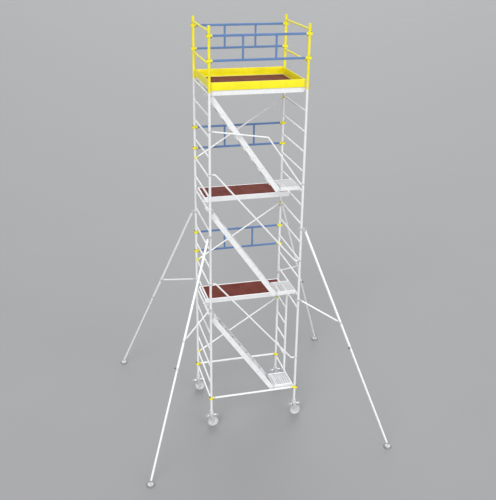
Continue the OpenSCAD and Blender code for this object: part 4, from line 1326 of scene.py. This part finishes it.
def make_outer_tube(c, at):
    """Two post clamps, the upper tube with its collars and locking knob, and the strut."""
    outer = outrigger_piece("outrigger", c, "frame_tube")
    add_clamp(outer, at, CLAMP_Z, 0.054)
    add_clamp(outer, at, STRUT_Z, 0.058)
    outer.add(tube_between(leg_at(0.004), leg_at(OUTER_LEN), POST_R, BORE_R, 36), "alu", at)
    outer.add(disc(0.0230, -0.001, 0.012, 0.001, 32), "black", at @ frame_at(leg_at(0.004), LEG_DIR))
    fork = [(0.046, -0.018), (0.110, -0.050), (0.118, -0.030), (0.086, 0.020), (0.046, 0.018)]
    cheek = both_sides([(0.040, -0.016), (0.058, -0.016)])
    for s in (-1, 1):
        plate = at @ upright(s, s * POST_R, 0, CLAMP_Z)
        outer.add(prism(fork, 0, 0.004, 0.0006), "alu_stair", plate)
        outer.add(disc(0.0095, 0.004, 0.0055, 0.0004, 16), "steel", plate @ move(0.094, -0.022, 0))
        outer.add(bolt_head(0.0085, 0.0060), "steel", plate @ move(0.094, -0.022, 0.0054))
        outer.add(prism(cheek, -0.0145, 0.0005, 0.0006), "alu_stair", plate)
    add_collar(outer, at, STRUT_AT - 0.030, STRUT_AT + 0.030)
    lock = add_collar(outer, at, OUTER_LEN - 0.060, OUTER_LEN - 0.002)
    knob = lock @ frame_at((0, 0.030, 0.030), (0, 1, 0))
    outer.add(disc(0.0060, 0, 0.014, 0.0006, 16), "steel", knob)
    grip = [(0, 0.012), (0.0150, 0.012), (0.0175, 0.016), (0.0175, 0.024), (0.0140, 0.028), (0, 0.029)]
    outer.add(lathe(grip, 10), "black", knob)
    start, end = Vector((0.070, 0, STRUT_Z)), leg_at(STRUT_AT)
    d = (end - start).normalized()
    stop = end - 0.0634 * d
    outer.add(tube_between(start, stop, BRACE_R, 0.015), "alu", at)
    for origin, way in ((start, d), (stop, -d)):
        outer.add(tube_ring(0.0182, 0.0171, 0.002, 0.030, 0.0006, 24), "weld", at @ frame_at(origin, way))
    for s in (-1, 1):
        strap_a = at @ frame_at(start - 0.022 * d + Vector((0, s * 0.0140, 0)), d, (0, 1, 0))
        outer.add(block(-0.002, 0.002, -0.012, 0.012, 0, 0.060, 0.0008), "zinc", strap_a)
        strap_b = at @ frame_at(stop - 0.020 * d + Vector((0, s * 0.0190, 0)), d, (0, 1, 0))
        outer.add(block(-0.002, 0.002, -0.012, 0.012, 0, 0.066, 0.0008), "zinc", strap_b)
    for origin, half in ((start - 0.012 * d, 0.018), (stop + 0.030 * d, 0.023)):
        pin = at @ frame_at(origin, (0, 1, 0))
        outer.add(disc(0.0050, -half - 0.004, half + 0.004, 0.0006, 14), "steel", pin)
        outer.add(bolt_head(0.0085, 0.0050), "steel", pin @ move(0, 0, half))
        outer.add(bolt_head(0.0085, 0.0050), "steel", pin @ turn(180, "X") @ move(0, 0, half))
    outer.finish()


def make_inner_tube(c, at):
    """Telescopic tube with its row of pin holes and the eye that carries the foot; each hole is a lining ring
    round a black disc of painted shade.
    """
    inner = outrigger_piece("outrigger_inner", c, "frame_tube")
    tube = tube_between(leg_at(INNER_FROM), leg_at(LEG_LEN - 0.042), INNER_R, INNER_R - 0.0022, 32)
    inner.add(tube, "alu", at)
    tip = at @ frame_at(leg_at(LEG_LEN), LEG_DIR, (0, 1, 0))
    plug = [(0, -0.048), (INNER_R, -0.048), (INNER_R, -0.040), (0.018, -0.034), (0, -0.034)]
    inner.add(lathe(plug, 32), "black", tip)
    eye = [(-0.040, -0.013)] + arc(0, 0, 0.0135, -90, 90, 12) + [(-0.040, 0.013)]
    blade = tip @ Matrix(((0, 0, 1, 0), (0, 1, 0, 0), (1, 0, 0, 0), (0, 0, 0, 1)))
    inner.add(prism(eye, -0.0100, 0.0100, 0.001), "alu_stair", blade)
    first_hole, hole_pitch = OUTER_LEN + 0.08, 0.15
    lining = [(0.0048, 0), (0.0066, 0), (0.0066, 0.0008), (0.0048, 0.0010)]
    for i in range(int((LEG_LEN - 0.09 - first_hole) / hole_pitch)):
        hole = at @ frame_at(leg_at(first_hole + hole_pitch * i), LEG_DIR, (0, 1, 0))
        for s in (-1, 1):
            mouth = hole @ frame_at((s * (INNER_R - 0.0004), 0, 0), (s, 0, 0))
            inner.add(lathe(lining, 16), "weld", mouth)
            # painted shade: a black disc stands in for the dark inside of the pin hole
            inner.add(disc(0.0048, -0.0004, 0.0005, 0.0001, 16), "black", mouth)
    inner.finish()


def make_foot(c, at):
    """Ribbed rubber pad under a pressed plate, with two ears and a pin for the leg's eye."""
    pad = outrigger_piece("outrigger_foot", c, "foot_rubber")
    base = at @ move(REACH, 0, 0)
    sole = [(0, 0.0012), (0.030, 0.0012), (0.032, 0), (0.044, 0), (0.046, 0.0012), (0.062, 0.0012),
            (0.064, 0), (0.083, 0), (0.085, 0.002), (0.085, 0.0075), (0.0825, 0.0100), (0.0795, 0.0108),
            (0.0775, 0.0150), (0.0700, 0.0235), (0.0620, 0.0300), (0.0585, 0.0312), (0, 0.0312)]
    pad.add(lathe(sole, 56), "pad", base)
    crown = [(0, 0.0305), (0.0590, 0.0305), (0.0600, 0.0325), (0.0560, 0.0365), (0.0460, 0.0425),
             (0.0400, 0.0440), (0, 0.0440)]
    pad.add(lathe(crown, 48), "zinc", base)
    fin = [(0.0600, 0.0240), (0.0795, 0.0105), (0.0815, 0.0090), (0.0600, 0.0090)]
    for i in range(8):
        way = base @ turn(45 * i + 22.5, "Z") @ turn(90, "X")
        pad.add(prism(fin, -0.0022, 0.0022, 0.0008), "pad", way)
    shoulder = FOOT.z - 0.004
    ear = [(-0.016, 0.040), (0.016, 0.040), (0.014, shoulder)]
    ear += arc(0, FOOT.z, 0.0122, -10, 190, 10) + [(-0.014, shoulder)]
    for s in (-1, 1):
        side = base @ upright(s, s * 0.0112)
        pad.add(prism(ear, 0, 0.0055, 0.0008), "zinc", side)
        pad.add(bolt_head(0.0085, 0.0040), "steel", side @ move(0, FOOT.z, 0.0054))
    pad.add(disc(0.0058, -0.018, 0.018, 0.0006, 16), "steel", base @ frame_at((0, 0, FOOT.z), (0, 1, 0)))
    pad.finish()


# ---------------------------------------------------------------------------
# Floor, light and camera
# ---------------------------------------------------------------------------

CAMERA_AT = (-3.858, -14.439, 10.250)
CAMERA_YAW = 15.055
CAMERA_PITCH = 23.344
CAMERA_ROLL = 0.793
FOCAL_LENGTH = 55.56


def make_floor():
    bpy.ops.mesh.primitive_plane_add(size=400, location=(0, 0, -0.0005))
    floor = bpy.context.object
    floor.name = "floor"
    n = Nodes("pale_floor")
    cloud = n.noise(0.35, 3, 0.5)
    colour = n.ramp(cloud, [(0.3, (0.300, 0.305, 0.312, 1)), (0.7, (0.320, 0.325, 0.332, 1))])
    floor.data.materials.append(n.finish(colour, n.span(cloud, 0.55, 0.65), n.bump(cloud, 0.02, 0.001)))


def make_lights():
    """Soft suns from both front sides and from behind, under a pale sky."""
    world = bpy.data.worlds.new("studio")
    bpy.context.scene.world = world
    world.use_nodes = True
    world.node_tree.nodes["Background"].inputs["Color"].default_value = (1.0, 1.0, 1.0, 1)
    world.node_tree.nodes["Background"].inputs["Strength"].default_value = 0.58
    for name, place, power, spread in (("key", (-11, -17, 13), 1.75, 35), ("fill", (10, -14, 7), 1.0, 50),
                                       ("back", (4, 13, 13), 0.9, 50)):
        light = bpy.data.lights.new(name, "SUN")
        light.energy, light.angle = power, math.radians(spread)
        lamp = bpy.data.objects.new(name, light)
        lamp.location = place
        lamp.rotation_euler = (-Vector(place)).to_track_quat("-Z", "Y").to_euler()
        bpy.context.scene.collection.objects.link(lamp)


def make_camera():
    """The photograph's viewpoint, as fitted to the tower's regular pattern."""
    yaw, pitch, roll = (math.radians(a) for a in (CAMERA_YAW, CAMERA_PITCH, CAMERA_ROLL))
    forward = Vector((math.sin(yaw) * math.cos(pitch), math.cos(yaw) * math.cos(pitch), -math.sin(pitch)))
    right = Vector((math.cos(yaw), -math.sin(yaw), 0))
    up = right.cross(forward)
    right, up = (math.cos(roll) * right + math.sin(roll) * up, math.cos(roll) * up - math.sin(roll) * right)
    data = bpy.data.cameras.new("camera")
    data.lens, data.sensor_width = FOCAL_LENGTH, 36
    data.clip_start, data.clip_end = 0.1, 600
    camera = bpy.data.objects.new("camera", data)
    m = Matrix((right, up, -forward)).transposed().to_4x4()
    m.translation = Vector(CAMERA_AT)
    camera.matrix_world = m
    bpy.context.scene.collection.objects.link(camera)
    bpy.context.scene.camera = camera


make_frames()
make_claws()
make_ledgers_and_braces()
make_guardrails()
make_decks()
make_hatch()
make_toe_boards()
for level_index, level_name in enumerate(LEVELS):
    make_stair(level_index, level_name)
make_handrails()
for corner_name in CORNERS:
    sign_x, sign_y = CORNERS[corner_name]
    at_corner = move(sign_x * X, sign_y * Y, 0)
    for make_part in (make_castor_leg, make_castor_fork, make_castor_wheel, make_castor_brake):
        make_part(corner_name, at_corner)
    foot_at = Vector(JOINTS["outrigger_foot_tilt_" + corner_name]["pos_m"])
    heading = math.degrees(math.atan2(foot_at.y - sign_y * Y, foot_at.x - sign_x * X))
    for make_part in (make_outer_tube, make_inner_tube, make_foot):
        make_part(corner_name, at_corner @ turn(heading, "Z"))
make_floor()
make_lights()
make_camera()
bpy.context.scene.view_settings.view_transform = "Standard"
